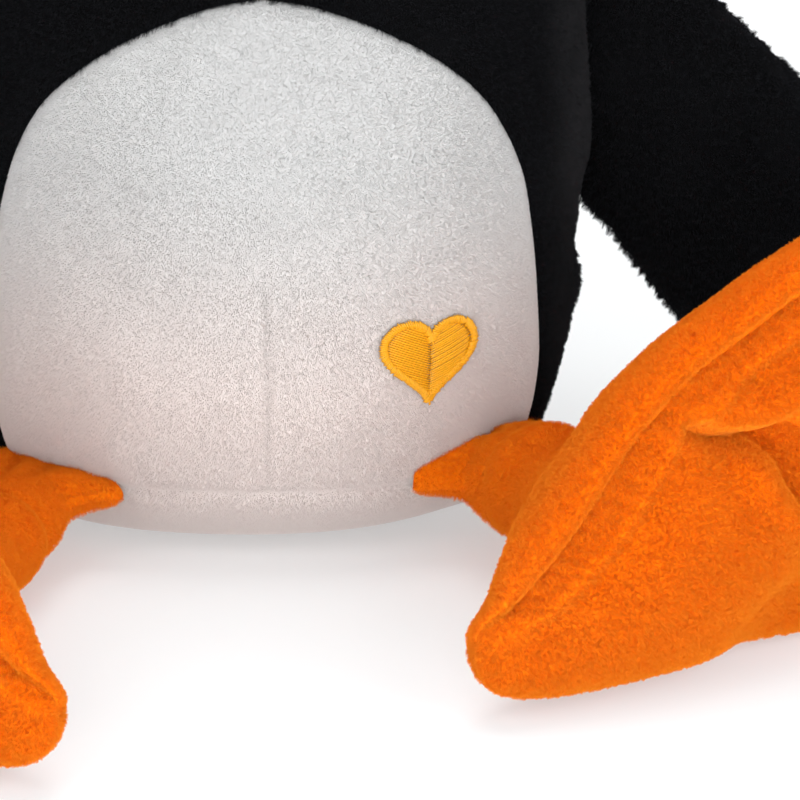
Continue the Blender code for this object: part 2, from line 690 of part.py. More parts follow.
def leg(side, word, path, hip):
    sheet(f"leg_{word}_cover", 14, 9,
          lambda x, y: leg_point(path, side, (y + 1) / 2, math.pi * (x + 1)),
          hip, ORANGE, along(path, 0.5), LIMB_CLOTH, closed=True)

    def stuffing_point(point):
        share = LEG_STUFFING_MIDDLE + LEG_STUFFING_REACH * max(-1.0, min(1.0, point.z))
        centre = Vector(along(path, share))
        turn = math.atan2(point.y, point.x)
        rim = leg_point(path, side, share, turn, LEG_STUFFING_INSET)
        return centre + (rim - centre) * max(1 - abs(point.z) ** 4, 0.0) ** 0.25

    bm = unit_sphere(12, 8)
    lay(bm, stuffing_point)
    bmesh.ops.recalc_face_normals(bm, faces=bm.faces)
    place(f"leg_{word}_stuffing", bm, hip, FIBRE)


# ---- feet ---------------------------------------------------------------------------------
# outline in the plane of the sole: u along the foot, outwards, then v up; from the inner end
# along the bottom, then back over the top
FOOT = (
    (-23, 20), (-22.5, 14), (-19, 8.5), (-12, 5.2), (-1, 3.2), (14, 2.2), (34, 1.6),
    (52, 1.4), (68, 1), (86, 0.6), (99, 2.5), (104, 8), (101, 14), (93, 16.9), (84, 20),
    (88.5, 25), (91, 33), (88.5, 41), (82, 47), (75, 51.5), (84, 58.5), (94, 66), (104, 76),
    (110, 86), (107, 95.5), (97, 99), (84, 96), (70, 90), (61, 86), (52.8, 81.6),
    (39.4, 74.6), (31, 68.6), (22.6, 61.6), (15.9, 54.4), (6.4, 44.5), (-3.3, 35.8),
    (-12.6, 28.8), (-19.5, 24.3),
)
FOOT_CENTRE = (42.0, 34.0)
FOOT_X, FOOT_Y = 60.0, -154.0               # where u = 0 stands on the ground, left foot
FOOT_RIGHT_SHIFT = -37.0    # shift of the right foot along y, forward
FOOT_YAW = math.radians(34.8)               # from across the body
FOOT_T_SOLE, FOOT_T_TOP = 22.0, 19.0        # thickness either side of the outline's plane
FOOT_LIFT = 1.0             # shift of each panel away from that plane
FOOT_STUFFING_INSET = 13.0
FOOT_GROUND_GAP = 0.15
foot_outline = Outline(FOOT, FOOT_CENTRE)


def foot_point(side, point, inset=0.0, lift=0.0):
    """A unit-sphere point laid onto a foot; +z of the sphere is the sole side."""
    u, v = foot_outline.at(*polar(point), inset)
    thick = (FOOT_T_SOLE if point.z > 0 else FOOT_T_TOP) - inset * 0.6
    w = thick * point.z + math.copysign(lift, point.z)
    w += 7.0 * max(0.0, (u + v - 90) / 90)      # upper outer corner leans to the sole side
    w -= 10.0 * max(0.0, (u - 45 - v) / 60)     # lower outer corner leans away from it
    v = max(v, FOOT_GROUND_GAP + inset)
    x = FOOT_X + u * math.cos(FOOT_YAW) + w * math.sin(FOOT_YAW)
    y = FOOT_Y + u * math.sin(FOOT_YAW) - w * math.cos(FOOT_YAW)
    if side < 0:
        y += FOOT_RIGHT_SHIFT
    return Vector((side * x, y, v))


def foot(side, word, ankle):
    inside = foot_point(side, Vector((0, 0, 0)))
    for half, which in ((1, "sole"), (-1, "top")):
        ball(f"foot_{word}_{which}_panel", 28, 8,
             lambda point: foot_point(side, point, lift=FOOT_LIFT),
             ankle, ORANGE, inside, half=half, thickness=LIMB_CLOTH)
    ball(f"foot_{word}_stuffing", 22, 6,
         lambda point: foot_point(side, point, inset=FOOT_STUFFING_INSET), ankle, FIBRE, inside)


# ---- the penguin --------------------------------------------------------------------------
torso_frame = empty("torso_frame", (0, 0, 0))
neck = empty("neck_axis", (0, 0, NECK_Z), torso_frame)

body_panels(torso_frame)
body_filling(torso_frame)
care_label(torso_frame)
belly_emblem(torso_frame)
head_pieces(neck)
beak(neck)
for (side, word), path in zip(SIDES, (LEG_LEFT, LEG_RIGHT)):
    eye(side, word, neck)
    wing(side, word, torso_frame)
    hip = empty(f"hip_axis_{word}", path[0], torso_frame)
    ankle_at = np.array(path[-1]) + np.array(ANKLE_OUT) * (side, 1, 1) * ANKLE_GAP
    ankle = empty(f"ankle_axis_{word}", ankle_at, hip)
    leg(side, word, path, hip)
    foot(side, word, ankle)
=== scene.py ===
"""Plush bird sitting on the floor, black with a white front, orange beak, legs and feet.

It faces -Y, its left is +X and it rests on z = 0. Shapes are worked out in millimetres and
scaled to metres when a mesh is made; materials, lights and camera are in metres.
"""

import itertools
import math

import bpy
import numpy as np
from mathutils import Matrix, Vector


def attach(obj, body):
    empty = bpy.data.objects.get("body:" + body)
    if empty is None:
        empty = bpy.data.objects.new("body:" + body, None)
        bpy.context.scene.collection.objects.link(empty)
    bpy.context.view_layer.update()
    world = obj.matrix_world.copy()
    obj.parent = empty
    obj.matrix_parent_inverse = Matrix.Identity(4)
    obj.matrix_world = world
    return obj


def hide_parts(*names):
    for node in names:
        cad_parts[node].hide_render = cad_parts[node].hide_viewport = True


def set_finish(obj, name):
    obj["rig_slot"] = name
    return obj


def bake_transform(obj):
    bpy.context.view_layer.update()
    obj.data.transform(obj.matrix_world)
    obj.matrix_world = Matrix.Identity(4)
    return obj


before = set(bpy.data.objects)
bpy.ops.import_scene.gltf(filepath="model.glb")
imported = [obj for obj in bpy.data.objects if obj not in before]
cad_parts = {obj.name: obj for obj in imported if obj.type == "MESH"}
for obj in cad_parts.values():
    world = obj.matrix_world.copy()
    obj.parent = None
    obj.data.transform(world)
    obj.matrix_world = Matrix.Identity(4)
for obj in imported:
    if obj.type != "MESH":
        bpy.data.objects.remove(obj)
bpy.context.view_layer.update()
MM = 0.001
PI = math.pi
SIDES = ((1, "left"), (-1, "right"))  # sign of X, word used in names
NAP_DEPTH = 1.1  # body and head cloth is drawn in by this much to leave room for the pile


# =============================================================================================
# Curves, distances and noise
# =============================================================================================
def hermite(knots, values, x):
    """Smooth curve through (knots, values), read at x."""
    knots, values, x = (np.asarray(item, float) for item in (knots, values, x))
    gap = np.diff(knots)
    slope = np.diff(values) / gap
    tangent = np.empty_like(values)
    tangent[0], tangent[-1] = slope[0], slope[-1]
    tangent[1:-1] = (slope[:-1] * gap[1:] + slope[1:] * gap[:-1]) / (gap[1:] + gap[:-1])
    i = np.clip(np.searchsorted(knots, x) - 1, 0, len(knots) - 2)
    t = np.clip((x - knots[i]) / gap[i], 0, 1)
    return ((2 * t**3 - 3 * t**2 + 1) * values[i]
            + (t**3 - 2 * t**2 + t) * gap[i] * tangent[i]
            + (-2 * t**3 + 3 * t**2) * values[i + 1]
            + (t**3 - t**2) * gap[i] * tangent[i + 1])


def lengths_along(points):
    """Distance from the first point to every point of a polyline."""
    return np.concatenate([[0], np.cumsum(np.linalg.norm(np.diff(points, axis=0), axis=1))])


def path_at(points, share):
    """Smooth path through points, read at shares (0 to 1) of its length."""
    length = lengths_along(points)
    length /= length[-1]
    return np.stack([hermite(length, points[:, k], share) for k in range(points.shape[1])], -1)


def even_points(points, share):
    """Positions at the given distances along a polyline."""
    length = lengths_along(points)
    return np.stack([np.interp(share * length[-1], length, points[:, k])
                     for k in range(points.shape[1])], -1)


def even_loop(loop, count):
    """count points spaced evenly round a closed outline."""
    return even_points(np.vstack([loop, loop[:1]]), np.linspace(0, 1, count, endpoint=False))


def closed_curve(points, per):
    """Closed Catmull-Rom curve with `per` steps between points."""
    here = np.asarray(points, float)[:, None]
    before, after, beyond = (np.roll(here, shift, 0) for shift in (1, -1, -2))
    t = np.linspace(0, 1, per, endpoint=False)[:, None]
    curve = 0.5 * (2 * here + (after - before) * t
                   + (2 * before - 5 * here + 4 * after - beyond) * t**2
                   + (3 * here - before - 3 * after + beyond) * t**3)
    return curve.reshape(-1, 2)


def smoothstep(start, end, x):
    t = np.clip((np.asarray(x, float) - start) / (end - start), 0, 1)
    return t * t * (3 - 2 * t)


def bell(x, width):
    """1 at x = 0, falling off smoothly over `width`."""
    return np.exp(-(x / width) ** 2)


def unit(vectors):
    return vectors / np.maximum(np.linalg.norm(vectors, axis=-1, keepdims=True), 1e-9)


def dist_to_path(x, y, path):
    """Distance from points to an open polyline, in the plane."""
    best = np.full(np.shape(x), 1e9)
    path = np.asarray(path, float)
    for start, end in zip(path[:-1], path[1:]):
        step = end - start
        t = ((x - start[0]) * step[0] + (y - start[1]) * step[1]) / max(step @ step, 1e-9)
        t = np.clip(t, 0, 1)
        best = np.minimum(best, np.hypot(x - start[0] - t * step[0], y - start[1] - t * step[1]))
    return best


def dist_to_loop(x, y, loop):
    return dist_to_path(x, y, np.vstack([loop, loop[:1]]))


def is_inside(x, y, loop):
    """Whether points lie inside a closed outline, by counting crossings."""
    inside = np.zeros(np.shape(x), bool)
    for (x0, y0), (x1, y1) in zip(loop, np.roll(loop, -1, 0)):
        inside ^= ((y0 > y) != (y1 > y)) & (x < (x1 - x0) * (y - y0) / (y1 - y0 + 1e-12) + x0)
    return inside


def noise(points, scale, seed):
    """Smooth value noise on points, about -1 to 1, from a fixed repeating lattice."""
    size = 32
    table = np.random.default_rng(seed).uniform(-1, 1, (size, size, size))
    place = np.asarray(points, float) / scale + 7.3
    cell = np.floor(place).astype(int)
    part = place - cell
    part = part * part * (3 - 2 * part)
    total = 0
    for step in itertools.product((0, 1), repeat=3):
        weight = np.prod(np.where(step, part, 1 - part), axis=-1)
        corner = np.moveaxis((cell + step) % size, -1, 0)
        total = total + weight * table[tuple(corner)]
    return total


def lumps(points, *layers):
    """Sum of noise layers, each given as height, scale and seed."""
    return sum(height * noise(points, scale, seed) for height, scale, seed in layers)


def groove(distance, depth, width, swell, reach):
    """Cloth pulled in along a seam, with the stuffing swelling beside it."""
    return swell * (bell(distance, reach) - bell(distance, 4.5)) - depth * bell(distance, width)


def border(shape, depth, *edges):
    """Zeros, with `depth` on the given edges of a grid, to turn cloth in under its neighbour."""
    offset = np.zeros(shape)
    for edge in edges:
        offset[edge] = depth
    return offset


FIRST_COLUMN, LAST_COLUMN = np.s_[:, 0], np.s_[:, -1]


# =============================================================================================
# Meshes
# =============================================================================================
def grid_faces(rows, columns, wrap=False, flip=False):
    row, column = np.meshgrid(np.arange(rows - 1), np.arange(columns if wrap else columns - 1),
                              indexing="ij")
    row, column = row.ravel() * columns, column.ravel()
    following = (column + 1) % columns
    faces = np.stack([row + column, row + following,
                      row + columns + following, row + columns + column], -1)
    return (faces[:, ::-1] if flip else faces).tolist()


def polar_faces(rays, rings, flip=False):
    """Vertex 0 is the centre, then ring after ring of `rays` points."""
    ray = np.arange(rays)
    following = (ray + 1) % rays
    faces = np.stack([0 * ray, 1 + ray, 1 + following], -1).tolist()
    for k in range(rings - 1):
        near, far = 1 + k * rays, 1 + (k + 1) * rays
        faces += np.stack([near + ray, far + ray, far + following, near + following], -1).tolist()
    return [face[::-1] for face in faces] if flip else faces


def fan(first, count, tip):
    """Triangles from a ring of points to a tip."""
    return [[first + k, first + (k + 1) % count, tip] for k in range(count)]


def walled(verts, faces, core, share):
    """A sheet made into a closed wall: a second skin drawn towards `core`, joined at the rim."""
    count = len(verts)
    core = np.asarray(core, float)
    edges = dict.fromkeys(pair for face in faces for pair in zip(face, face[1:] + face[:1]))
    inner = [[count + k for k in face[::-1]] for face in faces]
    rim = [[b, a, count + a, count + b] for a, b in edges if (b, a) not in edges]
    return np.vstack([verts, core + (verts - core) * share]), faces + inner + rim


def make(name, verts, faces, core=None, share=None, nap=None):
    """A mesh piece from points in mm. With a core it becomes a closed wall; nap is pile length."""
    verts = np.asarray(verts, float).reshape(-1, 3)
    count = len(verts)
    if core is not None:
        verts, faces = walled(verts, faces, core, share)
    mesh = bpy.data.meshes.new(name)
    mesh.from_pydata((verts * MM).tolist(), [], faces)
    mesh.validate()
    mesh.shade_smooth()
    obj = bpy.data.objects.new(name, mesh)
    bpy.context.scene.collection.objects.link(obj)
    if core is not None:
        obj["outer_points"] = count
        obj.vertex_groups.new(name="outer").add(list(range(count)), 1.0, "REPLACE")
    if nap is not None:
        group = obj.vertex_groups.new(name="nap")
        tenths = np.round(nap * 10).astype(int)
        for level in range(1, 11):
            group.add(np.nonzero(tenths == level)[0].tolist(), level / 10, "REPLACE")
    return obj


def make_grid(name, points, flip=False, **options):
    return make(name, points, grid_faces(*points.shape[:2], flip=flip), **options)


def make_disc(name, centre, points, flip=False, **options):
    """points are (rings, rays, 3), from the ring nearest the centre outwards."""
    rings, rays = points.shape[:2]
    verts = np.vstack([centre, points.reshape(-1, 3)])
    return make(name, verts, polar_faces(rays, rings, flip), **options)


def face_out(obj, centre):
    """Turn the faces so that those of the outer skin look away from a point in mm."""
    mesh = obj.data
    outer = obj.get("outer_points", len(mesh.vertices))
    normal, middle = np.empty((2, len(mesh.polygons) * 3))
    mesh.polygons.foreach_get("normal", normal)
    mesh.polygons.foreach_get("center", middle)
    keep = np.array([face.vertices[0] < outer and face.vertices[-1] < outer
                     for face in mesh.polygons])
    normal, middle = normal.reshape(-1, 3)[keep], middle.reshape(-1, 3)[keep]
    if ((middle - np.array(centre) * MM) * normal).sum() < 0:
        mesh.flip_normals()


# =============================================================================================
# Materials
# =============================================================================================
def rgba(colour):
    """Adds alpha to a colour tuple and leaves a socket as it is."""
    return (*colour, 1) if isinstance(colour, tuple) else colour


class Nodes:
    """A material under construction. Inputs are given as values or as sockets to link."""

    def __init__(self, name):
        self.mat = bpy.data.materials.new(name)
        self.mat.use_nodes = True
        self.tree = self.mat.node_tree
        self.tree.nodes.clear()
        self.out = self.add("ShaderNodeOutputMaterial")

    def add(self, kind, inputs=None, **settings):
        node = self.tree.nodes.new(kind)
        for key, value in settings.items():
            setattr(node, key, value)
        for key, value in (inputs or {}).items():
            if isinstance(value, bpy.types.NodeSocket):
                self.tree.links.new(value, node.inputs[key])
            else:
                node.inputs[key].default_value = value
        return node

    def math(self, operation, first, second):
        node = self.add("ShaderNodeMath", {0: first, 1: second}, operation=operation)
        return node.outputs[0]

    def mix(self, first, second, factor):
        inputs = {0: factor, 6: rgba(first), 7: rgba(second)}
        return self.add("ShaderNodeMix", inputs, data_type="RGBA").outputs[2]

    def ramp(self, factor, *stops):
        """Grey ramp with two stops, each a position and a value."""
        node = self.add("ShaderNodeValToRGB", {0: factor})
        for element, (position, value) in zip(node.color_ramp.elements, stops):
            element.position = position
            element.color = (value, value, value, 1)
        return node.outputs[0]

    def map_range(self, value, low, high, start=0.0, end=1.0):
        """Smooth change from start to end while value goes from low to high."""
        inputs = {"Value": value, "From Min": low, "From Max": high,
                  "To Min": start, "To Max": end}
        node = self.add("ShaderNodeMapRange", inputs, interpolation_type="SMOOTHSTEP")
        return node.outputs["Result"]

    def surface(self, shader):
        self.tree.links.new(shader.outputs[0], self.out.inputs["Surface"])
        return self.mat

    def bumped(self, shader, height, strength, distance):
        bump = self.add("ShaderNodeBump",
                        {"Strength": strength, "Distance": distance, "Height": height})
        self.tree.links.new(bump.outputs[0], shader.inputs["Normal"])
        return self.surface(shader)


def pile_height(n, where, tuft):
    """Tufts `tuft` mm wide and the single fibres in them; the tuft pattern is bent by noise."""
    fibre_width, warp = 0.35, 1.6
    bend = n.add("ShaderNodeTexNoise", {"Vector": where, "Scale": 1000 / (tuft * 3.2),
                                        "Detail": 2.0, "Roughness": 0.5})
    shift = n.add("ShaderNodeVectorMath", {0: bend.outputs["Color"],
                                           1: (tuft * warp * MM,) * 3,
                                           2: where}, operation="MULTIPLY_ADD")
    tufts = n.add("ShaderNodeTexVoronoi", {"Vector": shift.outputs[0], "Scale": 1000 / tuft,
                                           "Smoothness": 0.6}, feature="SMOOTH_F1")
    fibre = n.add("ShaderNodeTexNoise", {"Scale": 1000 / fibre_width, "Detail": 2.0,
                                         "Roughness": 0.6})
    stretch = n.add("ShaderNodeMapping", {"Vector": shift.outputs[0], "Scale": (1.0, 1.0, 0.35)})
    n.tree.links.new(stretch.outputs[0], fibre.inputs["Vector"])
    raised = n.math("MULTIPLY", n.math("SUBTRACT", 1.0, tufts.outputs["Distance"]), 0.7)
    return n.math("ADD", raised, n.math("MULTIPLY", fibre.outputs["Fac"], 0.45))


def plush(name, *, base, dark, light, sheen, sheen_tint, tuft, bump, patch=0.35,
          flank=None, foot=None):
    """Short pile with a nap that catches light at grazing angles.

    patch is the strength of the lighter patches. flank and foot are (from, to, colour): a painted
    sheen by distance from the middle plane, and painted light by height, both in metres.
    """
    n = Nodes(name)
    where = n.add("ShaderNodeTexCoord").outputs["Object"]
    big = n.add("ShaderNodeTexNoise", {"Vector": where, "Scale": 34.0, "Detail": 3.0,
                                       "Roughness": 0.55}).outputs["Fac"]
    height = pile_height(n, where, tuft)
    # painted shade: the low parts of the pile, between tufts and fibres, get the dark colour
    colour = n.mix(dark, base, n.ramp(height, (0.36, 0.0), (0.86, 1.0)))
    colour = n.mix(colour, light, n.ramp(big, (0.45, 0.0), (0.75, patch)))
    # painted sheen: towards grazing angles the colour is mixed with the light tone
    grazing = n.add("ShaderNodeLayerWeight", {"Blend": 0.35}).outputs["Facing"]
    colour = n.mix(colour, light, n.math("MULTIPLY", grazing, 0.45))
    # single fibres of the modelled pile differ a little in tone; painted shade leaves the root
    # darker, paling towards the tip
    hair = n.add("ShaderNodeHairInfo")
    strand = n.mix(base, dark, n.math("MULTIPLY", hair.outputs["Random"], 0.55))
    tip = n.math("POWER", hair.outputs["Intercept"], 1.5)
    strand = n.mix(strand, light, n.math("MULTIPLY", tip, 0.75))
    strand = n.mix(strand, light, n.ramp(big, (0.45, 0.0), (0.75, patch)))
    colour = n.mix(colour, strand, hair.outputs["Is Strand"])
    if flank:
        # painted sheen: the nap shows its side where the body turns away, and the colour is made
        # lighter there
        low, high, tint = flank
        axes = n.add("ShaderNodeSeparateXYZ", {0: where})
        away = n.map_range(n.math("ABSOLUTE", axes.outputs["X"], 0.0), low, high)
        broken = n.ramp(big, (0.3, 0.45), (0.7, 1.0))
        colour = n.mix(colour, tint, n.math("MULTIPLY", away, broken))
    if foot:
        # painted light: near the ground the colour is made warmer and lighter, beside the orange
        # legs, standing in for light thrown up from below
        low, high, tint = foot
        axes = n.add("ShaderNodeSeparateXYZ", {0: where})
        near = n.map_range(axes.outputs["Z"], low, high, start=0.85, end=0.0)
        colour = n.mix(colour, tint, near)
    shader = n.add("ShaderNodeBsdfPrincipled", {
        "Base Color": colour, "Roughness": 0.9, "Specular IOR Level": 0.06,
        "Sheen Weight": sheen, "Sheen Roughness": 0.45, "Sheen Tint": rgba(sheen_tint)})
    return n.bumped(shader, height, strength=bump, distance=0.0009)


def plain(name, *, colour, rough, scale, low, bump, rough_vary=0.1, extra=None):
    """Solid colour, darkened to the share `low` and roughened by a fine noise."""
    n = Nodes(name)
    where = n.add("ShaderNodeTexCoord").outputs["Object"]
    grain = n.add("ShaderNodeTexNoise", {"Vector": where, "Scale": scale,
                                         "Detail": 3.0}).outputs["Fac"]
    shader = n.add("ShaderNodeBsdfPrincipled", {"Roughness": rough, **(extra or {})})
    shade = tuple(channel * low for channel in colour)
    tone = n.mix(shade, colour, n.ramp(grain, (0.3, 0.0), (0.7, 1.0)))
    vary = n.math("ADD", n.math("MULTIPLY", grain, rough_vary), rough)
    n.tree.links.new(tone, shader.inputs["Base Color"])
    n.tree.links.new(vary, shader.inputs["Roughness"])
    return n.bumped(shader, grain, strength=bump, distance=0.0003)


BLACK_PILE = dict(base=(0.0026, 0.0027, 0.0032), dark=(0.0010, 0.0010, 0.0012),
                  light=(0.0095, 0.0098, 0.0115), sheen=0.05, sheen_tint=(0.8, 0.85, 1.0),
                  tuft=1.8, bump=0.5)
LOOKS = {
    # the white plush is painted warmer and lighter below about 105 mm, as light thrown up from
    # below
    "white_plush": plush(
        "white_plush", base=(0.69, 0.695, 0.695), dark=(0.655, 0.657, 0.655),
        light=(0.73, 0.735, 0.738), sheen=0.10, sheen_tint=(1, 0.98, 0.96),
        tuft=1.2, bump=0.12, patch=0.2, foot=(0.035, 0.105, (0.86, 0.79, 0.765))),
    "black_plush": plush("black_plush", **BLACK_PILE),
    # black pile with a painted sheen, lighter towards the flanks
    "black_flank_plush": plush("black_flank_plush", **BLACK_PILE,
                               flank=(0.066, 0.077, (0.025, 0.025, 0.027))),
    "orange_plush": plush(
        "orange_plush", base=(0.95, 0.248, 0.0046), dark=(0.90, 0.182, 0.0014),
        light=(0.97, 0.345, 0.028), sheen=0.06, sheen_tint=(1.0, 0.45, 0.15),
        tuft=1.0, bump=0.5, patch=0.15),
    "emblem_thread": plain("emblem_thread", colour=(0.98, 0.47, 0.006), rough=0.40,
                           scale=1800.0, low=0.80, bump=0.4),
    "eye_plastic": plain("eye_plastic", colour=(0.003, 0.003, 0.0035), rough=0.10,
                         scale=300.0, low=0.7, bump=0.01, rough_vary=0.05,
                         extra={"Coat Weight": 0.15, "Coat Roughness": 0.05}),
    "label_satin": plain("label_satin", colour=(0.86, 0.86, 0.84), rough=0.45,
                         scale=2500.0, low=0.88, bump=0.35, extra={"Sheen Weight": 0.3}),
}

pieces = {}


def add_piece(key, obj, look, replaces, middle=None, ride=None, slot=None):
    if middle is not None:
        face_out(obj, middle)
    obj.data.materials.append(LOOKS[look])
    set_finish(obj, slot or look)
    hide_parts(*replaces)
    if ride:
        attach(obj, ride)
    pieces[key] = obj


# =============================================================================================
# Body
# =============================================================================================
# height, half width, depth to the front, depth to the back
BODY = np.array((
    (0, 50, 30, 42), (4, 60, 43, 50), (10, 66.5, 52.5, 57), (19, 72, 60, 63),
    (30, 76.5, 65.5, 68), (45, 79.6, 70, 71), (62, 80.6, 72, 73), (80, 80.9, 72.5, 73.5),
    (100, 81, 70.5, 72), (120, 80.4, 65, 69), (140, 77.6, 56.5, 63), (156, 71, 49, 55.5),
    (168, 61, 44, 49), (178, 50, 42, 43)), float)
# edge of the white belly panel: turn from the front in degrees, height
BELLY_EDGE = np.array((
    (60.5, 19), (60.6, 30), (59.2, 45), (57.4, 60), (55.4, 75), (52.2, 90), (46.8, 105),
    (40.6, 115.6), (31.0, 125.6), (22.0, 132.4), (13.3, 137.3), (6.0, 140.2), (0, 141.2)), float)
BELLY_EDGE[:, 0] = np.radians(BELLY_EDGE[:, 0])
BELLY_PEAK = BELLY_EDGE[-1, 1]
BELLY_RADIUS = 72  # mm per radian of turn over the belly panel
NECK_LINE = BODY[-1, 0] + 0.6
BASE_SEAM_Z, SIDE_SEAM = 18.8, math.radians(97.0)
DART_TOP = 84.0
BODY_TUCK = -1.2  # offset of the panel edges that turn in under a neighbour
BODY_MIDDLE = (0, 0, 80)
BODY_WALL = dict(core=BODY_MIDDLE, share=0.982)


def body(turn, z):
    """Plain body surface; turn is 0 at the front and grows towards +X."""
    turn, z = np.broadcast_arrays(np.asarray(turn, float), np.asarray(z, float))
    sin, cos = np.sin(turn), np.cos(turn)
    wide, front, back = (hermite(BODY[:, 0], BODY[:, k], z) for k in (1, 2, 3))
    deep = front * (1 + cos) / 2 + back * (1 - cos) / 2
    return np.stack([wide * sin * (1 + 0.05 * cos * cos),
                     -deep * cos * (1 + 0.05 * sin * sin), z], -1)


def outward(turn):
    """Level direction away from the body's axis."""
    return np.stack([np.sin(turn), -np.cos(turn), 0 * turn], -1)


def base_seam(turn):
    return BASE_SEAM_Z + 2.5 * np.sin(turn) ** 2


def belly_edge(count):
    """(turn, height) points from the base seam up to the peak, evenly spaced in mm."""
    length = np.concatenate([[0], np.cumsum(np.hypot(np.diff(BELLY_EDGE[:, 0]) * BELLY_RADIUS,
                                                     np.diff(BELLY_EDGE[:, 1])))])
    at = np.linspace(0, length[-1], count)
    return np.stack([hermite(length, BELLY_EDGE[:, k], at) for k in (0, 1)], -1)


BELLY_EDGE_MM = belly_edge(160) * (BELLY_RADIUS, 1)


def body_relief(turn, z):
    """Seams, the darts at front and back, and the puckers, in mm outwards."""
    around = np.abs((turn + PI) % (2 * PI) - PI)
    x = around * BELLY_RADIUS
    base = np.abs(z - base_seam(turn))
    seams = (  # distance to the seam, groove depth, groove width, swell
        (dist_to_path(x, z, BELLY_EDGE_MM), 1.0, 2.0, 0.45),
        (np.abs(around - SIDE_SEAM) * 78, 1.3, 2.2, 0.9),
        (base, 0.75, 1.8, 0.4),
        (np.where(z > BELLY_PEAK, x, 99.0), 0.8, 2.0, 0.3),
        ((PI - around) * 66, 1.2, 2.4, 0.8),
    )
    relief = sum(groove(*seam, reach=11) for seam in seams)
    dart = np.where((z < DART_TOP) & (z > BASE_SEAM_Z), np.abs(np.sin(turn)) * 70, 99.0)
    fade = smoothstep(DART_TOP, DART_TOP - 26, z)
    relief = relief + fade * (0.35 * bell(dart, 7) - 0.75 * bell(dart, 1.3))
    # pucker where the side seam is gathered under the wing: a bump below a dip
    relief = relief + 1.6 * bell(z - 59, 5.0) * bell(around - math.radians(88), 0.24)
    relief = relief - 1.0 * bell(z - 69, 4.0) * bell(around - math.radians(90), 0.22)
    # fine puckers along the base seam
    gather = bell(base, 7.0) * (1 - bell(base, 1.6))
    relief = relief + 0.28 * gather * np.sin(turn * 41 + 2.0 * np.sin(turn * 9))
    return relief + 0.15 * gather * np.sin(turn * 83 + 1)


def skin(turn, z, extra=0.0):
    """Body surface with its seams, for arrays of turn and height."""
    turn, z = np.broadcast_arrays(np.asarray(turn, float), np.asarray(z, float))
    points = body(turn, z)
    around = body(turn + 1e-3, z) - body(turn - 1e-3, z)
    normal = unit(np.cross(around, body(turn, z + 0.2) - body(turn, z - 0.2)))
    lump = lumps(points, (0.8, 26, 3), (0.35, 11, 4)) * smoothstep(0, 16, z)
    offset = body_relief(turn, z) + lump + extra - NAP_DEPTH
    # the cloth is drawn in at the foot of the front left quarter, and up the left flank
    tuck = 7.0 * bell(turn - math.radians(52), 0.5) * smoothstep(17, 2, z)
    flank = (2.2 + 2.4 * smoothstep(62, 25, z)) * bell(turn - 1.45, 0.5)
    tuck = tuck + flank * smoothstep(97, 83, z) * smoothstep(3, 14, z)
    return points + normal * offset[..., None] - outward(turn) * tuck[..., None]


def belly_piece():
    rays, rings, middle_z = 420, 72, 66.0
    right = BELLY_EDGE_MM.copy()
    bottom = np.linspace(-right[0, 0], right[0, 0], 120)[1:-1]
    bottom = np.stack([bottom, base_seam(bottom / BELLY_RADIUS)], -1)
    right[0, 1] = base_seam(right[0, 0] / BELLY_RADIUS)
    loop = np.vstack([bottom, right, (right * (-1, 1))[::-1][1:]])
    angle = np.unwrap(np.arctan2(loop[:, 1] - middle_z, loop[:, 0]))
    order = np.argsort(angle)
    angle, radius = angle[order], np.hypot(loop[:, 1] - middle_z, loop[:, 0])[order]
    # rays crowd towards straight down, where the dart runs
    spread = np.linspace(-1, 1, rays, endpoint=False)
    ray = -PI / 2 + PI * (0.55 * spread + 0.45 * spread**3)
    ray = np.where(ray < angle[0], ray + 2 * PI, ray)
    ray = np.where(ray > angle[-1], ray - 2 * PI, ray)
    reach = np.interp(ray, np.concatenate([angle - 2 * PI, angle, angle + 2 * PI]),
                      np.tile(radius, 3))
    share = np.linspace(0, 1, rings + 1)[1:, None]
    x = share * reach * np.cos(ray)
    z = middle_z + share * reach * np.sin(ray)
    points = skin(x / BELLY_RADIUS, z, border(x.shape, BODY_TUCK, -1))
    return make_disc("belly_plush", skin(0.0, middle_z), points, **BODY_WALL)


def side_piece(side, word):
    rows, columns, edge_rows = 190, 72, 130
    top_start = 141.9  # just above the belly's peak, where both side panels meet
    above = np.linspace(top_start, NECK_LINE, rows - edge_rows)
    inner = np.vstack([belly_edge(edge_rows), np.stack([0 * above, above], -1)])
    inner[0, 1] = base_seam(inner[0, 0])
    low = base_seam(SIDE_SEAM)
    outer_z = (low + (NECK_LINE - low) * np.linspace(0, 1, rows))[:, None]
    across = np.linspace(0, 1, columns)
    turn = inner[:, :1] * (1 - across) + SIDE_SEAM * across
    z = inner[:, 1:] * (1 - across) + outer_z * across
    z = np.maximum(z, base_seam(turn))
    tuck = border(z.shape, BODY_TUCK, 0, FIRST_COLUMN, LAST_COLUMN)
    return make_grid(f"side_plush_{word}", skin(side * turn, z, tuck), flip=side < 0, **BODY_WALL)


def back_piece(side, word):
    rows, columns = 130, 80
    turn = SIDE_SEAM + (PI - SIDE_SEAM) * np.linspace(0, 1, columns)[None, :]
    low = base_seam(turn)
    z = low + (NECK_LINE - low) * np.linspace(0, 1, rows)[:, None]
    tuck = border(z.shape, BODY_TUCK, 0, FIRST_COLUMN, LAST_COLUMN)
    return make_grid(f"back_plush_{word}", skin(side * turn, z, tuck), flip=side < 0, **BODY_WALL)


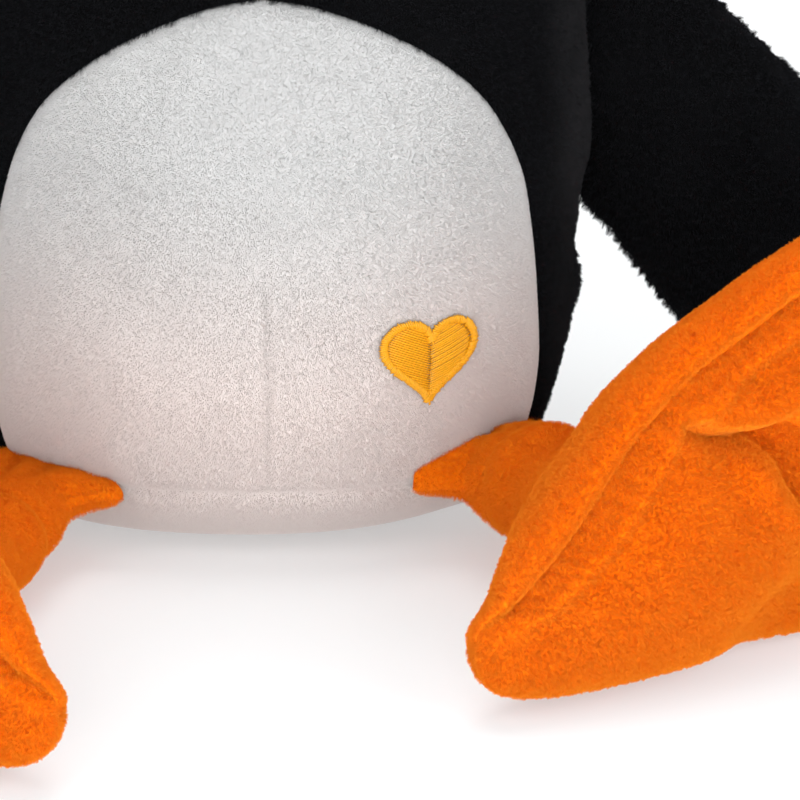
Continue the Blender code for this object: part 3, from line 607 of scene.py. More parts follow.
def base_piece():
    """Flat on the ground out to 0.45 of the rings, then up to the base seam."""
    rays, rings, flat = 300, 46, 0.45
    turn = np.linspace(-PI, PI, rays, endpoint=False)
    shares = np.linspace(0, 1, rings + 1)[1:]
    ground = skin(turn, np.zeros(rays))
    points = []
    for share in shares:
        if share <= flat:
            points.append(ground * (share / flat) * (1, 1, 0))
        else:
            z = base_seam(turn) * ((share - flat) / (1 - flat)) ** 1.25
            row = skin(turn, z, BODY_TUCK if share == shares[-1] else 0)
            row[:, 2] = np.maximum(row[:, 2], 0)
            points.append(row)
    return make_disc("base_plush", [[0, 0, 0]], np.array(points), flip=True,
                     core=(0, 0, 40), share=0.97)


add_piece("belly", belly_piece(), "white_plush", middle=BODY_MIDDLE, ride="torso",
          replaces=("belly_panel", "body_stuffing", "pellet_pouch_upper", "pellet_pouch_lower",
                    "pellet_fill"))
add_piece("base", base_piece(), "white_plush", ["base_panel"], (0, 0, 30), "torso")
for side, word in SIDES:
    add_piece(f"side_{word}", side_piece(side, word), "black_flank_plush",
              [f"side_panel_{word}"], BODY_MIDDLE, "torso", slot="black_plush")
    add_piece(f"back_{word}", back_piece(side, word), "black_plush",
              [f"back_panel_{word}"], BODY_MIDDLE, "torso")

# =============================================================================================
# Head
# =============================================================================================
HEAD_MIDDLE = (0, 0, 232.0)
HEAD_W, HEAD_D, HEAD_UP, HEAD_DOWN = 66.0, 60.0, 58.0, 72.0  # half sizes from the middle
HEAD_POWER = 2.3  # 2 would be an ellipsoid
GUSSET = 14.0  # half width of the strip over the head
HEAD_TUCK = -1.0
HEAD_WALL = dict(core=HEAD_MIDDLE, share=0.978)


def head(direction, offset=0.0):
    """Plain head surface along directions from its middle."""
    direction = np.asarray(direction, float)
    length = np.linalg.norm(direction, axis=-1, keepdims=True)
    direction = direction / np.maximum(length, 1e-12)
    high = np.where(direction[..., 2] > 0, HEAD_UP, HEAD_DOWN)
    reach = (np.abs(direction[..., 0] / HEAD_W) ** HEAD_POWER
             + np.abs(direction[..., 1] / HEAD_D) ** HEAD_POWER
             + np.abs(direction[..., 2] / high) ** HEAD_POWER) ** (-1 / HEAD_POWER)
    return np.array(HEAD_MIDDLE) + direction * (reach + offset)[..., None]


def facing(longitude, latitude):
    """Direction in degrees from straight ahead: towards +X, and up."""
    longitude, latitude = np.radians(longitude), np.radians(latitude)
    return np.stack([np.sin(longitude) * np.cos(latitude),
                     -np.cos(longitude) * np.cos(latitude), np.sin(latitude)], -1)


def head_skin(direction, extra=0.0):
    """Head surface with its seams."""
    points = head(direction)
    seam = np.abs(np.abs(points[..., 0]) - GUSSET)
    neck = np.abs(points[..., 2] - NECK_LINE)
    offset = lumps(points, (0.9, 24, 11), (0.3, 10, 12))
    offset = offset + groove(seam, depth=1.2, width=2.2, swell=0.7, reach=12)
    offset = offset + groove(neck, depth=1.5, width=2.4, swell=1.1, reach=12)
    pucker = np.sin(np.arctan2(points[..., 0], points[..., 1]) * 37)
    offset = offset + 0.2 * bell(neck, 7) * pucker
    return head(direction, offset + extra - NAP_DEPTH)


def head_side(side, word):
    rays, rings = 420, 92
    around = np.linspace(0, 2 * PI, rays, endpoint=False)

    def direction(away):
        """Directions at an angle away from the X axis."""
        return np.stack([side * np.cos(away), np.sin(away) * np.cos(around),
                         np.sin(away) * np.sin(around)], -1)

    # find where each ray meets the gusset or the neck, by halving
    near, far = np.full(rays, 0.05), np.full(rays, PI / 2 + 0.2)
    for _ in range(40):
        middle = (near + far) / 2
        points = head(direction(middle))
        inside = (side * points[:, 0] > GUSSET) & (points[:, 2] > NECK_LINE)
        near, far = np.where(inside, middle, near), np.where(inside, far, middle)
    share = np.linspace(0, 1, rings + 1)[1:, None] ** 0.92
    points = head_skin(direction(share * near), border((rings, rays), HEAD_TUCK, -1))
    return make_disc(f"head_plush_{word}", head_skin([[side, 0, 0.0]]), points, **HEAD_WALL)


def head_top():
    """Strip over the head, from the neck line in front to the neck line behind."""
    rows, columns = 300, 30
    around = np.linspace(-1.45, PI + 1.45, 4000)
    strips = []
    for x in np.linspace(-GUSSET, GUSSET, columns):
        # walk round the head in the plane at this x
        walk = np.stack([np.full_like(around, x / HEAD_W), -np.cos(around), np.sin(around)], -1)
        for _ in range(8):
            walk[:, 0] *= x / head(walk)[:, 0]
        walk = walk[head(walk)[:, 2] > NECK_LINE]
        length = lengths_along(head(walk))
        at = np.linspace(0, length[-1], rows)
        strips.append(np.stack([np.interp(at, length, walk[:, k]) for k in range(3)], -1))
    tuck = border((rows, columns), HEAD_TUCK, 0, -1, FIRST_COLUMN, LAST_COLUMN)
    return make_grid("head_gusset_plush", head_skin(np.stack(strips, 1), tuck), **HEAD_WALL)


for side, word in SIDES:
    add_piece(f"head_{word}", head_side(side, word), "black_plush",
              [f"head_panel_{word}"], HEAD_MIDDLE)
add_piece("gusset", head_top(), "black_plush", ["head_gusset", "head_stuffing"], HEAD_MIDDLE)

# =============================================================================================
# White face patches and eyes
# =============================================================================================
FACE_LON, FACE_LAT, FACE_WIDE, FACE_HIGH = 25.5, 2.0, 23.5, 33.0  # centre, half sizes, degrees
EYE_LON, EYE_LAT = 28.0, 10.0
EYE_R, EYE_H, EYE_RIM, EYE_STEM = 5.6, 4.2, 1.0, -6.0  # radius, then heights over the seat


def face_piece(side, word):
    rays, rings = 240, 50
    around = np.linspace(0, 2 * PI, rays, endpoint=False)
    share = np.linspace(0, 1, rings + 1)[1:, None] ** 0.8
    latitude = FACE_LAT + FACE_HIGH * share * np.sin(around)
    longitude = FACE_LON + FACE_WIDE * share * np.cos(around)
    direction = facing(side * longitude, latitude)
    rim = (1 - share) * 27  # mm in from the patch's edge
    offset = (-1.0 + 2.6 * (1 - np.exp(-(rim / 1.3) ** 1.2))
              + 0.25 * bell(rim - 2.2, 1.5) * np.sin(around * 46))
    offset = offset + 0.25 * noise(head(direction), 9, 21)
    # the eye is drawn in with its washer, so the cloth dips round it
    mm_per_degree = 1.1
    eye = np.hypot((longitude - EYE_LON) * mm_per_degree, (latitude - EYE_LAT) * mm_per_degree)
    offset = offset - 1.7 * bell(eye, 7.5)
    centre = head(facing(side * FACE_LON, FACE_LAT), 1.6)
    return make_disc(f"face_plush_{word}", centre, head(direction, offset),
                     core=HEAD_MIDDLE, share=0.982)


def eye_piece(look, seat, word):
    """Dome on a stem, turned from a profile and set on the head facing along its normal."""
    profile = [(EYE_R * 0.25, EYE_STEM), (EYE_R * 0.25, 0.0), (EYE_R * 0.9, 0.2),
               (EYE_R, EYE_RIM)]
    profile += [(EYE_R * math.cos(rise), EYE_RIM + (EYE_H - EYE_RIM) * math.sin(rise))
                for rise in np.linspace(0.08, 1.53, 16)]
    segments = 56
    verts = [(radius * math.cos(turn), radius * math.sin(turn), z) for radius, z in profile
             for turn in np.linspace(0, 2 * PI, segments, endpoint=False)]
    top, bottom = len(verts), len(verts) + 1
    verts += [(0, 0, EYE_H), (0, 0, EYE_STEM)]
    faces = grid_faces(len(profile), segments, wrap=True)
    faces += fan(top - segments, segments, top)
    faces += [[(k + 1) % segments, k, bottom] for k in range(segments)]
    eye = make(f"eye_dome_{word}", verts, faces)
    aim = Vector((look[0] / HEAD_W**1.2, look[1] / HEAD_D**1.2, look[2] / HEAD_UP**1.2))
    turned = aim.normalized().to_track_quat("Z", "Y").to_matrix().to_4x4()
    eye.data.transform(Matrix.Translation(Vector(seat * MM)) @ turned)
    return eye


for side, word in SIDES:
    add_piece(f"face_{word}", face_piece(side, word), "white_plush", [f"face_panel_{word}"],
              HEAD_MIDDLE, "head")
    look = facing(side * EYE_LON, EYE_LAT)
    seat = head(look, 1.5)
    add_piece(f"eye_{word}", eye_piece(look, seat, word), "eye_plastic",
              [f"eye_{word}", f"eye_washer_{word}"], seat, "head")

# =============================================================================================
# Beak
# =============================================================================================
BEAK_Z, BEAK_W, BEAK_H, BEAK_L = 221.0, 12.7, 8.7, 24.4


def beak_piece(part, word):
    """Half of the beak, part 1 above and -1 below, from just inside the face to the tip."""
    rows, columns = 64, 96
    share = np.linspace(0, 1, rows)[:, None]
    across = np.linspace(0, PI, columns)
    long = BEAK_L if part > 0 else BEAK_L * 0.84
    tip = np.sin(share * PI / 2)
    taper = np.cos(share * PI / 2) ** 0.82
    high = BEAK_H * taper
    x = BEAK_W * taper * np.cos(across)
    y = -(HEAD_D + 1.5) - (long + 2.9) * tip + (1 - share) ** 6 * 5.0
    z = BEAK_Z + part * (0.35 + high * np.sin(across) ** 0.9) - 2.5 * tip**2
    z = z + part * 0.18 * bell(np.sin(across) * high, 1.2)
    points = np.stack(np.broadcast_arrays(x, y, z), -1)
    points[..., 2] += 0.25 * noise(points, 7, 31)
    return make_grid(f"beak_plush_{word}", points, flip=part < 0,
                     core=(0, -61, BEAK_Z), share=0.90)


for part, word, stuffing in ((1, "upper", ["beak_stuffing"]), (-1, "lower", [])):
    add_piece(f"beak_{word}", beak_piece(part, word), "orange_plush",
              [f"beak_{word}", *stuffing], (0, -62, BEAK_Z), "head")


# =============================================================================================
# Pillows: two panels sewn along an outline and stuffed
# =============================================================================================
def inflate(outline, creases=(), valleys=(), pitch=1.0, steps=5200):
    """Sampler of how far a pair of panels swells, 0 at the outline to 1 at its fullest.

    creases are (path, strength, width), valleys (x, y, x radius, y radius, strength).
    """
    low, high = outline.min(0) - 4, outline.max(0) + 4
    count_x, count_y = ((high - low) / pitch).astype(int) + 1
    x, y = np.meshgrid(low[0] + pitch * np.arange(count_x), low[1] + pitch * np.arange(count_y),
                       indexing="ij")
    inside = is_inside(x, y, outline)
    hold = np.zeros(x.shape)
    for path, strength, width in creases:
        hold += strength * bell(dist_to_path(x, y, path), width)
    for mid_x, mid_y, radius_x, radius_y, strength in valleys:
        hold += strength * np.exp(-((x - mid_x) / radius_x) ** 2 - ((y - mid_y) / radius_y) ** 2)
    swell = np.zeros(x.shape)
    for _ in range(steps):
        total = (np.roll(swell, 1, 0) + np.roll(swell, -1, 0)
                 + np.roll(swell, 1, 1) + np.roll(swell, -1, 1) + pitch**2)
        swell = np.where(inside, total / (4 + hold * pitch**2), 0)
    swell = swell / swell.max()

    def sample(at_x, at_y):
        cell_x, cell_y = (at_x - low[0]) / pitch, (at_y - low[1]) / pitch
        i = np.clip(np.floor(cell_x).astype(int), 0, count_x - 2)
        j = np.clip(np.floor(cell_y).astype(int), 0, count_y - 2)
        dx, dy = cell_x - i, cell_y - j
        return (swell[i, j] * (1 - dx) * (1 - dy) + swell[i + 1, j] * dx * (1 - dy)
                + swell[i, j + 1] * (1 - dx) * dy + swell[i + 1, j + 1] * dx * dy)

    return sample


def shrink(line, depth):
    """A closed outline drawn in by a depth."""
    tangent = unit(np.roll(line, -1, 0) - np.roll(line, 1, 0))
    inward = np.stack([-tangent[:, 1], tangent[:, 0]], -1)
    x, y = line[:, 0], line[:, 1]
    turn = np.sign((x * np.roll(y, -1) - np.roll(x, -1) * y).sum())
    return line + inward * turn * depth


def pattern_rings(outline, centre, rays, rings, power):
    """Rings from a centre out to an outline, crowding towards it.

    Returns the angle and full radius of each ray, and both coordinates of the points.
    """
    seam = even_loop(outline - centre, rays)
    angle, radius = np.arctan2(seam[:, 1], seam[:, 0]), np.hypot(seam[:, 0], seam[:, 1])
    share = 1 - (1 - np.linspace(0, 1, rings + 1)[1:, None]) ** power
    return (angle, radius, centre[0] + share * radius * np.cos(angle),
            centre[1] + share * radius * np.sin(angle))


# =============================================================================================
# Wings
# =============================================================================================
# outline of the left wing: x, z
WING = (
    (79.5, 78), (79.0, 98), (77.5, 125), (74.5, 146), (83, 153), (98, 144), (115.6, 128),
    (127, 117), (138, 106.5), (152, 91), (164, 71), (167, 52), (160, 38.5), (146, 31),
    (130, 30.8), (116, 36.0), (107.2, 44.2), (99.2, 54), (90.3, 65.5))
WING_CENTRE = np.array((118.0, 88.0))
WING_SEAM_Y = 15.0 - 1.2
WING_SWELL = 7.5 - 0.3  # front half; the back half is 1 mm flatter
WING_LINE = shrink(closed_curve(WING, 24), 1.2)
wing_fill = inflate(WING_LINE, pitch=1.5, steps=2500)


def wing_piece(side, half, name):
    """Half of a wing, 1 for the front and -1 for the back."""
    rays = 420
    angle, _, x, z = pattern_rings(WING_LINE, WING_CENTRE, rays, rings=76, power=1.7)
    edge = dist_to_loop(x, z, WING_LINE)
    edge[-1] = 0
    thick = WING_SWELL - 1.0 * (half < 0)
    near = np.clip(edge / 16, 0, 1)
    root = np.clip((x - 80) / 26, 0, 1)
    height = thick * np.minimum(np.sqrt(near * (2 - near)), 1.0)
    height = height * (0.62 + 0.38 * np.clip(wing_fill(x, z), 0, 1) ** 0.5)
    height = height * (0.5 + 0.5 * np.sin(root * PI / 2))
    lump = lumps(np.stack([x, 0 * x, z], -1), (0.9, 17, 41 + half), (0.35, 7, 43 + half))
    height = height + lump * smoothstep(0, 14, edge)
    # gathers along the seam
    height = height + 0.3 * bell(edge - 2.5, 3.0) * np.sin(np.arange(1, rays + 1) * 0.62)
    # the cloth swells out past the seam, except at the root
    full = np.maximum(height, 0)
    swell = 2.0 * (1 - np.exp(-full / 1.6)) * np.exp(-full / 5.5)
    if half < 0:
        swell = swell * 1.7
    x = x + swell * np.cos(angle) * smoothstep(84, 96, x)
    z = z + swell * np.sin(angle) * smoothstep(84, 96, x)
    height[-1] = 0.0
    points = np.stack([side * x, WING_SEAM_Y - half * height, z], -1)
    centre_height = thick * (0.62 + 0.38 * wing_fill(*WING_CENTRE) ** 0.5)
    centre_x, centre_z = side * WING_CENTRE[0], WING_CENTRE[1]
    return make_disc(name, (centre_x, WING_SEAM_Y - half * centre_height, centre_z), points,
                     core=(centre_x, WING_SEAM_Y, centre_z), share=0.90)


for side, word in SIDES:
    for half, which in ((1, "front"), (-1, "back")):
        stuffing = [f"wing_{word}_stuffing"] if half > 0 else []
        add_piece(f"wing_{word}_{which}",
                  wing_piece(side, half, f"wing_plush_{word}_{which}"), "black_plush",
                  [f"wing_{word}_{which}_panel", *stuffing],
                  (side * WING_CENTRE[0], WING_SEAM_Y + half * 1.5, WING_CENTRE[1]))

# =============================================================================================
# Feet: they stand on edge with the soles to the front
# =============================================================================================
# outline of a foot: distance along it, height. Toe A is the upper one, B the middle, C the lower
FOOT = (
    (-22, 20), (-21.5, 14), (-18.5, 8.8), (-12, 5.4), (-1, 3.6), (14, 3.0), (34, 2.8),
    (52, 3.2), (68, 2.2), (86, 1.2), (99, 2.5), (104, 8), (101, 14), (93, 16.9), (84, 20),
    (88.5, 25), (91, 33), (88.5, 41), (82, 47), (75, 51.5), (84, 58.5), (94, 66), (104, 76),
    (110, 86), (107, 95.5), (97, 99), (84, 96), (70, 90), (61, 86), (52.8, 81.6),
    (39.4, 74.6), (31, 68.6), (22.6, 61.6), (15.9, 54.4), (6.4, 44.5), (-3.3, 35.8),
    (-12.6, 28.8), (-19.5, 24.3))
FOOT_CENTRE = np.array((42.0, 34.0))
FOOT_ORIGIN, FOOT_YAW = (60.0, -154.0), math.radians(34.8)
RIGHT_FOOT_SHIFT = (-0.5, -37.0)  # change of distance from the middle plane, and of y
SEAM_OUT = 4.0  # how far the seam lies in front of the foot's flat pattern
SOLE_SWELL, TOP_SWELL = (22.0 - SEAM_OUT) * 0.97, 19.0 + SEAM_OUT - 1.2
# how the top panel rolls out over the upper seam:
# cloth distance, distance past the seam, rise over the seam
SEAM_ROLL = np.array((
    (0, 0, 0), (0.8, 0.9, 2.0), (1.6, 2.0, 3.2), (2.5, 3.4, 3.3), (3.5, 4.8, 2.3),
    (5, 6.0, -0.5), (7, 6.0, -4.5), (10, 4.2, -9), (15, -1.5, -13.5), (22, -11.5, -15.5),
    (30, -23, -16), (45, -44, -16), (90, -90, -16)), float)
# crease under toe A and crease between toes B and C: distance along, height
CREASE_A = np.array(((22, 66), (28.6, 61.8), (38.5, 57.6), (47, 56.3), (56, 57.0), (67, 55.6),
                     (75, 51.5)), float)
CREASE_BC = np.array(((84, 20), (74, 20.5), (63, 18.5), (54, 15.0), (47.5, 10.5), (44, 5),
                      (43, 0)), float)
# limit below which toe C lies back: distance along, height
TOE_C_LIMIT = ((43, 44, 47.5, 54, 63, 74, 84), (-9, 5, 10.5, 15, 18.5, 20.5, 20))
# edge of toe B: height, distance along; underside of toe A: distance along, height
TOE_B_EDGE = ((20, 30, 38.2, 45, 53.5, 57, 60), (80, 66, 57.5, 52.5, 49.5, 46, 42))
TOE_A_UNDERSIDE = ((39, 49, 56.4, 66, 76, 84, 94), (59, 61.4, 65.0, 66.5, 66.5, 67, 74))
FOOT_LINE = shrink(closed_curve(FOOT, 20), 1.1)
sole_fill = inflate(FOOT_LINE, valleys=((74, 48, 8, 7, 0.05),),
                    creases=((CREASE_A[2:], 0.08, 2.4), (CREASE_BC, 0.09, 2.8)))
top_fill = inflate(FOOT_LINE, creases=((((75.0, 51.5), (60, 46)), 0.05, 3.0),
                                       (CREASE_BC[:3], 0.05, 3.0)))


def foot_place(along, up, out, side):
    """From a foot's own measures (along, up, out towards the front) to space."""
    shift_x, shift_y = RIGHT_FOOT_SHIFT if side < 0 else (0, 0)
    x = FOOT_ORIGIN[0] + shift_x + along * math.cos(FOOT_YAW) + out * math.sin(FOOT_YAW)
    y = FOOT_ORIGIN[1] + along * math.sin(FOOT_YAW) - out * math.cos(FOOT_YAW) + shift_y
    return np.stack([side * x, y, up], -1)


def toe_lean(along, up):
    """Toe A comes forward, toe C lies back."""
    behind = smoothstep(0, 9, dist_to_path(along, up, CREASE_BC))
    behind = behind * (up < np.interp(along, *TOE_C_LIMIT))
    return 7.0 * np.maximum(0, (along + up - 90) / 90) - 3.5 * behind


def sole_folds(along, up, height):
    """The soft fold under toe A, and the hollow between toes A and B."""
    crease = dist_to_path(along, up, CREASE_A)
    fade = smoothstep(22, 40, along)
    above = smoothstep(-1, 1, up - np.interp(along, CREASE_A[:, 0], CREASE_A[:, 1]))
    # toe A hangs over, the cloth below is drawn in
    height = height + fade * above * 5.0 * bell(crease - 6.0, 5.5)
    height = height - fade * 6.5 * bell(crease, 3.0)
    height = height - fade * (1 - above) * 1.5 * bell(crease, 9)
    toe_b = np.interp(up, *TOE_B_EDGE)
    toe_a = np.interp(along, *TOE_A_UNDERSIDE)
    hollow = (smoothstep(0, 3.2, along - toe_b) * smoothstep(0, 4.5, toe_a - up)
              * smoothstep(22, 34, up))
    ridge = bell(toe_b - along - 5, 5.0) * smoothstep(26, 36, up) * smoothstep(58, 50, up)
    return (height + 3.2 * ridge) * (1 - 0.86 * hollow)


def foot_surface(along, up, half):
    """Height of a panel over the seam, with creases and lumps, and the distance to the seam."""
    edge = dist_to_loop(along, up, FOOT_LINE)
    fill, thick, rounding = ((sole_fill, SOLE_SWELL, 4.6) if half > 0
                             else (top_fill, TOP_SWELL, 4.0))
    # right beside the seam the cloth rises like a rounded edge
    near = np.clip(edge / rounding, 0, 1)
    full = np.sqrt(np.clip(fill(along, up), 0, 1)) * np.sqrt(near * (2 - near))
    lump = lumps(np.stack([along, up, 0 * along + 50 * half], -1), (0.9, 23, 51), (0.5, 10, 52))
    height = thick * full + smoothstep(1.5, 12, edge) * lump
    if half > 0:
        height = sole_folds(along, up, height)
    return height, edge


def seam_outward(angle, radius):
    """Outward direction of the stretch of foot seam nearest to each ray's end, smoothed."""
    step_x, step_y = np.gradient(FOOT_LINE[:, 0]), np.gradient(FOOT_LINE[:, 1])
    end_x = FOOT_CENTRE[0] + radius * np.cos(angle)
    end_y = FOOT_CENTRE[1] + radius * np.sin(angle)
    nearest = np.argmin(np.hypot(FOOT_LINE[:, 0][:, None] - end_x,
                                 FOOT_LINE[:, 1][:, None] - end_y), axis=0)
    length = np.hypot(step_x, step_y)
    out_x, out_y = step_y[nearest] / length[nearest], -step_x[nearest] / length[nearest]
    if (out_x * np.cos(angle) + out_y * np.sin(angle)).sum() < 0:
        out_x, out_y = -out_x, -out_y
    reach = 14
    kernel = bell(np.arange(-reach, reach + 1), 6.0)
    kernel /= kernel.sum()
    return [np.convolve(np.concatenate([part[-reach:], part, part[:reach]]), kernel, "valid")
            for part in (out_x, out_y)]


def foot_piece(side, half, name):
    """Panel of a foot, 1 for the sole and -1 for the top."""
    rays = 560
    angle, radius, along, up = pattern_rings(FOOT_LINE, FOOT_CENTRE, rays, rings=120, power=1.5)
    height, edge = foot_surface(along, up, half)
    edge[-1] = 0
    height[-1] = 0
    out_along, out_up = seam_outward(angle, radius)
    # 1 where the seam runs along the upper edge
    upper = smoothstep(-0.1, 0.75, out_up - 0.25 * np.maximum(0, -out_along - 0.55))
    if half > 0:
        reach, fall = 2.2 + 2.0 * smoothstep(0.2, 0.9, -out_along) - 1.2 * upper, 5.5
    else:
        reach, fall = 1.6 + 9.4 * upper, 10
    full = np.maximum(height, 0)
    swell = reach * (1 - np.exp(-full / 2.2)) * np.exp(-full / fall) * bell(edge, 9)
    # stitches draw the cloth in along the seam
    around = np.arange(rays) / rays
    pucker = np.sin(around * 2 * PI * 88 + 2 * np.sin(around * 40))
    height = height + 0.35 * bell(edge - 2.2, 2.2) * pucker
    height = height - 0.9 * bell(edge, 1.1) * (1 - bell(edge, 0.25))
    # both panels roll into the seam where it runs along the upper edge
    if half > 0:
        height = height + 2.2 * upper * bell(edge - 3.2, 1.7)
    else:
        roll = np.interp(edge, SEAM_ROLL[:, 0], SEAM_ROLL[:, 1]) + edge
        swell = swell * (1 - upper) + roll * upper
        share = upper * smoothstep(16, 9, edge)
        rise = np.interp(edge, SEAM_ROLL[:, 0], SEAM_ROLL[:, 2])
        height = height * (1 - share) - rise * share
    # the pile is shorter beside the seam
    nap = np.concatenate([[1.0], (0.5 + 0.5 * smoothstep(0.1, 1.3, edge)).ravel()])
    out = SEAM_OUT + half * height + toe_lean(along, up)
    along, up = along + out_along * swell, up + out_up * swell
    # it rests on the ground
    up = np.where(up < 1.6, 0.15 + np.maximum(0, up + 3.2) * 0.30, up)
    centre_height, _ = foot_surface(*FOOT_CENTRE, half)
    centre = foot_place(*FOOT_CENTRE, SEAM_OUT + half * centre_height, side)
    return make_disc(name, centre, foot_place(along, up, out, side),
                     core=foot_place(*FOOT_CENTRE, SEAM_OUT, side), share=0.945, nap=nap)


for side, word in SIDES:
    for half, which in ((1, "sole"), (-1, "top")):
        stuffing = [f"foot_{word}_stuffing"] if half > 0 else []
        add_piece(f"foot_{word}_{which}",
                  foot_piece(side, half, f"foot_plush_{word}_{which}"), "orange_plush",
                  [f"foot_{word}_{which}_panel", *stuffing],
                  foot_place(*FOOT_CENTRE, SEAM_OUT - half * 3, side), f"foot_{word}")

# =============================================================================================
# Legs
# =============================================================================================
LEG_OUT = np.array((0.70, -0.714, 0.0))  # direction in which the left leg leaves the body
# path: x, y, z from the body to the foot. root: half width, height above and below the path.
# tube: radius further out. blunt: below 1 the root's section is boxier. bunch: fold height.
LEGS = {
    1: dict(path=np.array((
        (53.0, -38.5, 20.0), (56.6, -43.4, 20.2), (64, -57, 21.6), (71.5, -75, 22.5),
        (76.5, -92, 25), (80.5, -107, 28), (84.5, -117, 30)), float),
        root=(25.2, 11.6, 2.4), tube=13.8, blunt=0.80, bunch=1.5),
    -1: dict(path=np.array((
        (-53.0, -38.5, 18.9), (-56.6, -43.4, 18.6), (-61, -58, 15.5), (-67, -85, 13.5),
        (-73.0, -117, 17.6), (-80.5, -144.5, 24), (-84.5, -154, 27)), float),
        root=(25.2, 5.2, 4.2), tube=10.3, blunt=0.92, bunch=1.3),
}


def leg_frame(here, along, side):
    """Directions across and up at every station; the root faces straight out of the body."""
    ahead = unit(np.gradient(here, axis=0))
    root = smoothstep(0.30, 0.02, along)
    ahead = unit(ahead * (1 - root) + LEG_OUT * (side, 1, 1) * root)
    across = unit(np.cross((0, 0, 1.0), ahead))
    return across[:, None], np.cross(ahead, across)[:, None]


def leg_piece(side, word, path, root, tube, blunt, bunch):
    rows, columns = 210, 200
    stations = np.linspace(0, 1, rows)
    along = stations[:, None]
    here = path_at(path, stations)
    across, up = leg_frame(here, along, side)
    # the section grows from the root's to the tube's, and closes a little at the foot
    grow = 0.22 * smoothstep(0.0, 0.32, along) + 0.78 * smoothstep(-0.02, 0.15, along)
    plump = 0.5 * smoothstep(0, 0.28, along) + 0.5 * smoothstep(0.05, 0.24, along)
    closing = 1 - 0.22 * np.clip((along - 0.74) / 0.26, 0, 1) ** 2
    root_wide, root_upper, root_lower = root
    wide = (root_wide + (tube - root_wide) * grow) * closing
    upper = (root_upper + (tube - root_upper) * plump) * closing
    lower = (root_lower + (tube - root_lower) * plump) * closing
    power = blunt + (1 - blunt) * grow
    turn = np.linspace(0, 2 * PI, columns, endpoint=False)
    cos, sin = np.cos(turn), np.sin(turn)
    high = np.where(sin > 0, upper, lower)
    points = (here[:, None] + across * (wide * np.sign(cos) * np.abs(cos) ** power)[..., None]
              + up * (high * np.sign(sin) * np.abs(sin) ** power)[..., None])
    normal = unit(across * (cos / wide)[..., None] + up * (sin / np.maximum(high, 3))[..., None])
    # gathers radiate from the root, and the tube bunches where it bends
    length = np.linalg.norm(path[-1] - path[0])
    mm = along * length
    offset = 0.55 * bell(mm - 9, 8.0) * np.sin(turn * 9 + 1.3 * np.sin(turn * 3 + 1))
    fold = bell(mm - length * 0.34, 7.0) - 0.8 * bell(mm - length * 0.27 - 1.5 * cos, 2.6)
    offset = offset + bunch * fold * (0.65 + 0.35 * np.sin(turn + 0.6))
    offset = offset + lumps(points, (0.9, 15, 61 + side), (0.45, 7, 63 + side))
    points = points + normal * (offset * smoothstep(0, 6, mm))[..., None]
    # it rests on the ground
    points[..., 2] = np.maximum(points[..., 2], 0.4 + 0.02 * points[..., 2])
    faces = grid_faces(rows, columns, wrap=True)
    faces += fan((rows - 1) * columns, columns, rows * columns)
    return make(f"leg_plush_{word}", np.vstack([points.reshape(-1, 3), here[-1:]]), faces)


for side, word in SIDES:
    add_piece(f"leg_{word}", leg_piece(side, word, **LEGS[side]), "orange_plush",
              [f"leg_{word}_cover", f"leg_{word}_stuffing"],
              path_at(LEGS[side]["path"], np.array([0.5]))[0])

# =============================================================================================
# Pile
# =============================================================================================
# length and radius in mm, parents per square mm; wild is how far neighbouring tufts lean apart,
# comb the common lean along Z and rough the scatter of the tips, as shares of the length
PILES = {
    "white_plush": dict(length=0.65, parents=2.6, children=8, radius=0.055, wild=0.10,
                        comb=-0.14, rough=0.13, first_seed=100),
    "black_plush": dict(length=1.55, parents=0.45, children=15, radius=0.085, wild=0.55,
                        comb=-0.4, rough=0.28, first_seed=200),
    "orange_plush": dict(length=1.0, parents=1.8, children=11, radius=0.058, wild=0.42,
                         comb=-0.15, rough=0.18, first_seed=300),
}


def area_mm2(obj):
    areas = np.empty(len(obj.data.polygons))
    obj.data.polygons.foreach_get("area", areas)
    return float(areas.sum()) * 1e6


def pile(obj, number, length, parents, children, radius, wild, comb, rough, first_seed):
    """Short fibres on the outer skin of a piece."""
    obj.modifiers.new("pile", "PARTICLE_SYSTEM")
    obj.modifiers.move(len(obj.modifiers) - 1, 0)
    system = obj.particle_systems[-1]
    system.seed = first_seed + number
    hair = system.settings
    hair.name = f"pile_{obj.name}"
    hair.type = "HAIR"
    hair.count = max(20, int(area_mm2(obj) * parents))
    hair.use_advanced_hair = True
    hair.hair_length = length * MM
    unit_speed = length * MM / 4
    hair.factor_random = unit_speed * wild
    hair.object_align_factor = (0.0, 0.0, unit_speed * comb)
    hair.hair_step = 3
    hair.emit_from = "FACE"
    hair.use_emit_random = True
    hair.use_even_distribution = True
    hair.distribution = "RAND"
    hair.use_modifier_stack = False
    hair.render_type = "PATH"
    hair.render_step = 2
    hair.display_step = 2
    hair.material = 1
    hair.child_type = "INTERPOLATED"
    hair.rendered_child_count = children
    hair.child_percent = 0
    hair.child_length = 1.0
    hair.clump_factor = 0.0
    hair.roughness_1, hair.roughness_1_size = 0.0, 1.0
    hair.roughness_2, hair.roughness_2_size = 0.0, 1.0
    hair.roughness_endpoint = rough * length * MM
    hair.roughness_end_shape = 1.0
    hair.root_radius, hair.tip_radius = 1.0, 0.35
    hair.radius_scale = radius * MM
    hair.use_close_tip = True
    if "outer" in obj.vertex_groups:
        system.vertex_group_density = "outer"
    if "nap" in obj.vertex_groups:
        system.vertex_group_length = "nap"


furred = [obj for obj in pieces.values() if obj.get("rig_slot") in PILES]
for number, obj in enumerate(furred):
    pile(obj, number, **PILES[obj["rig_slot"]])

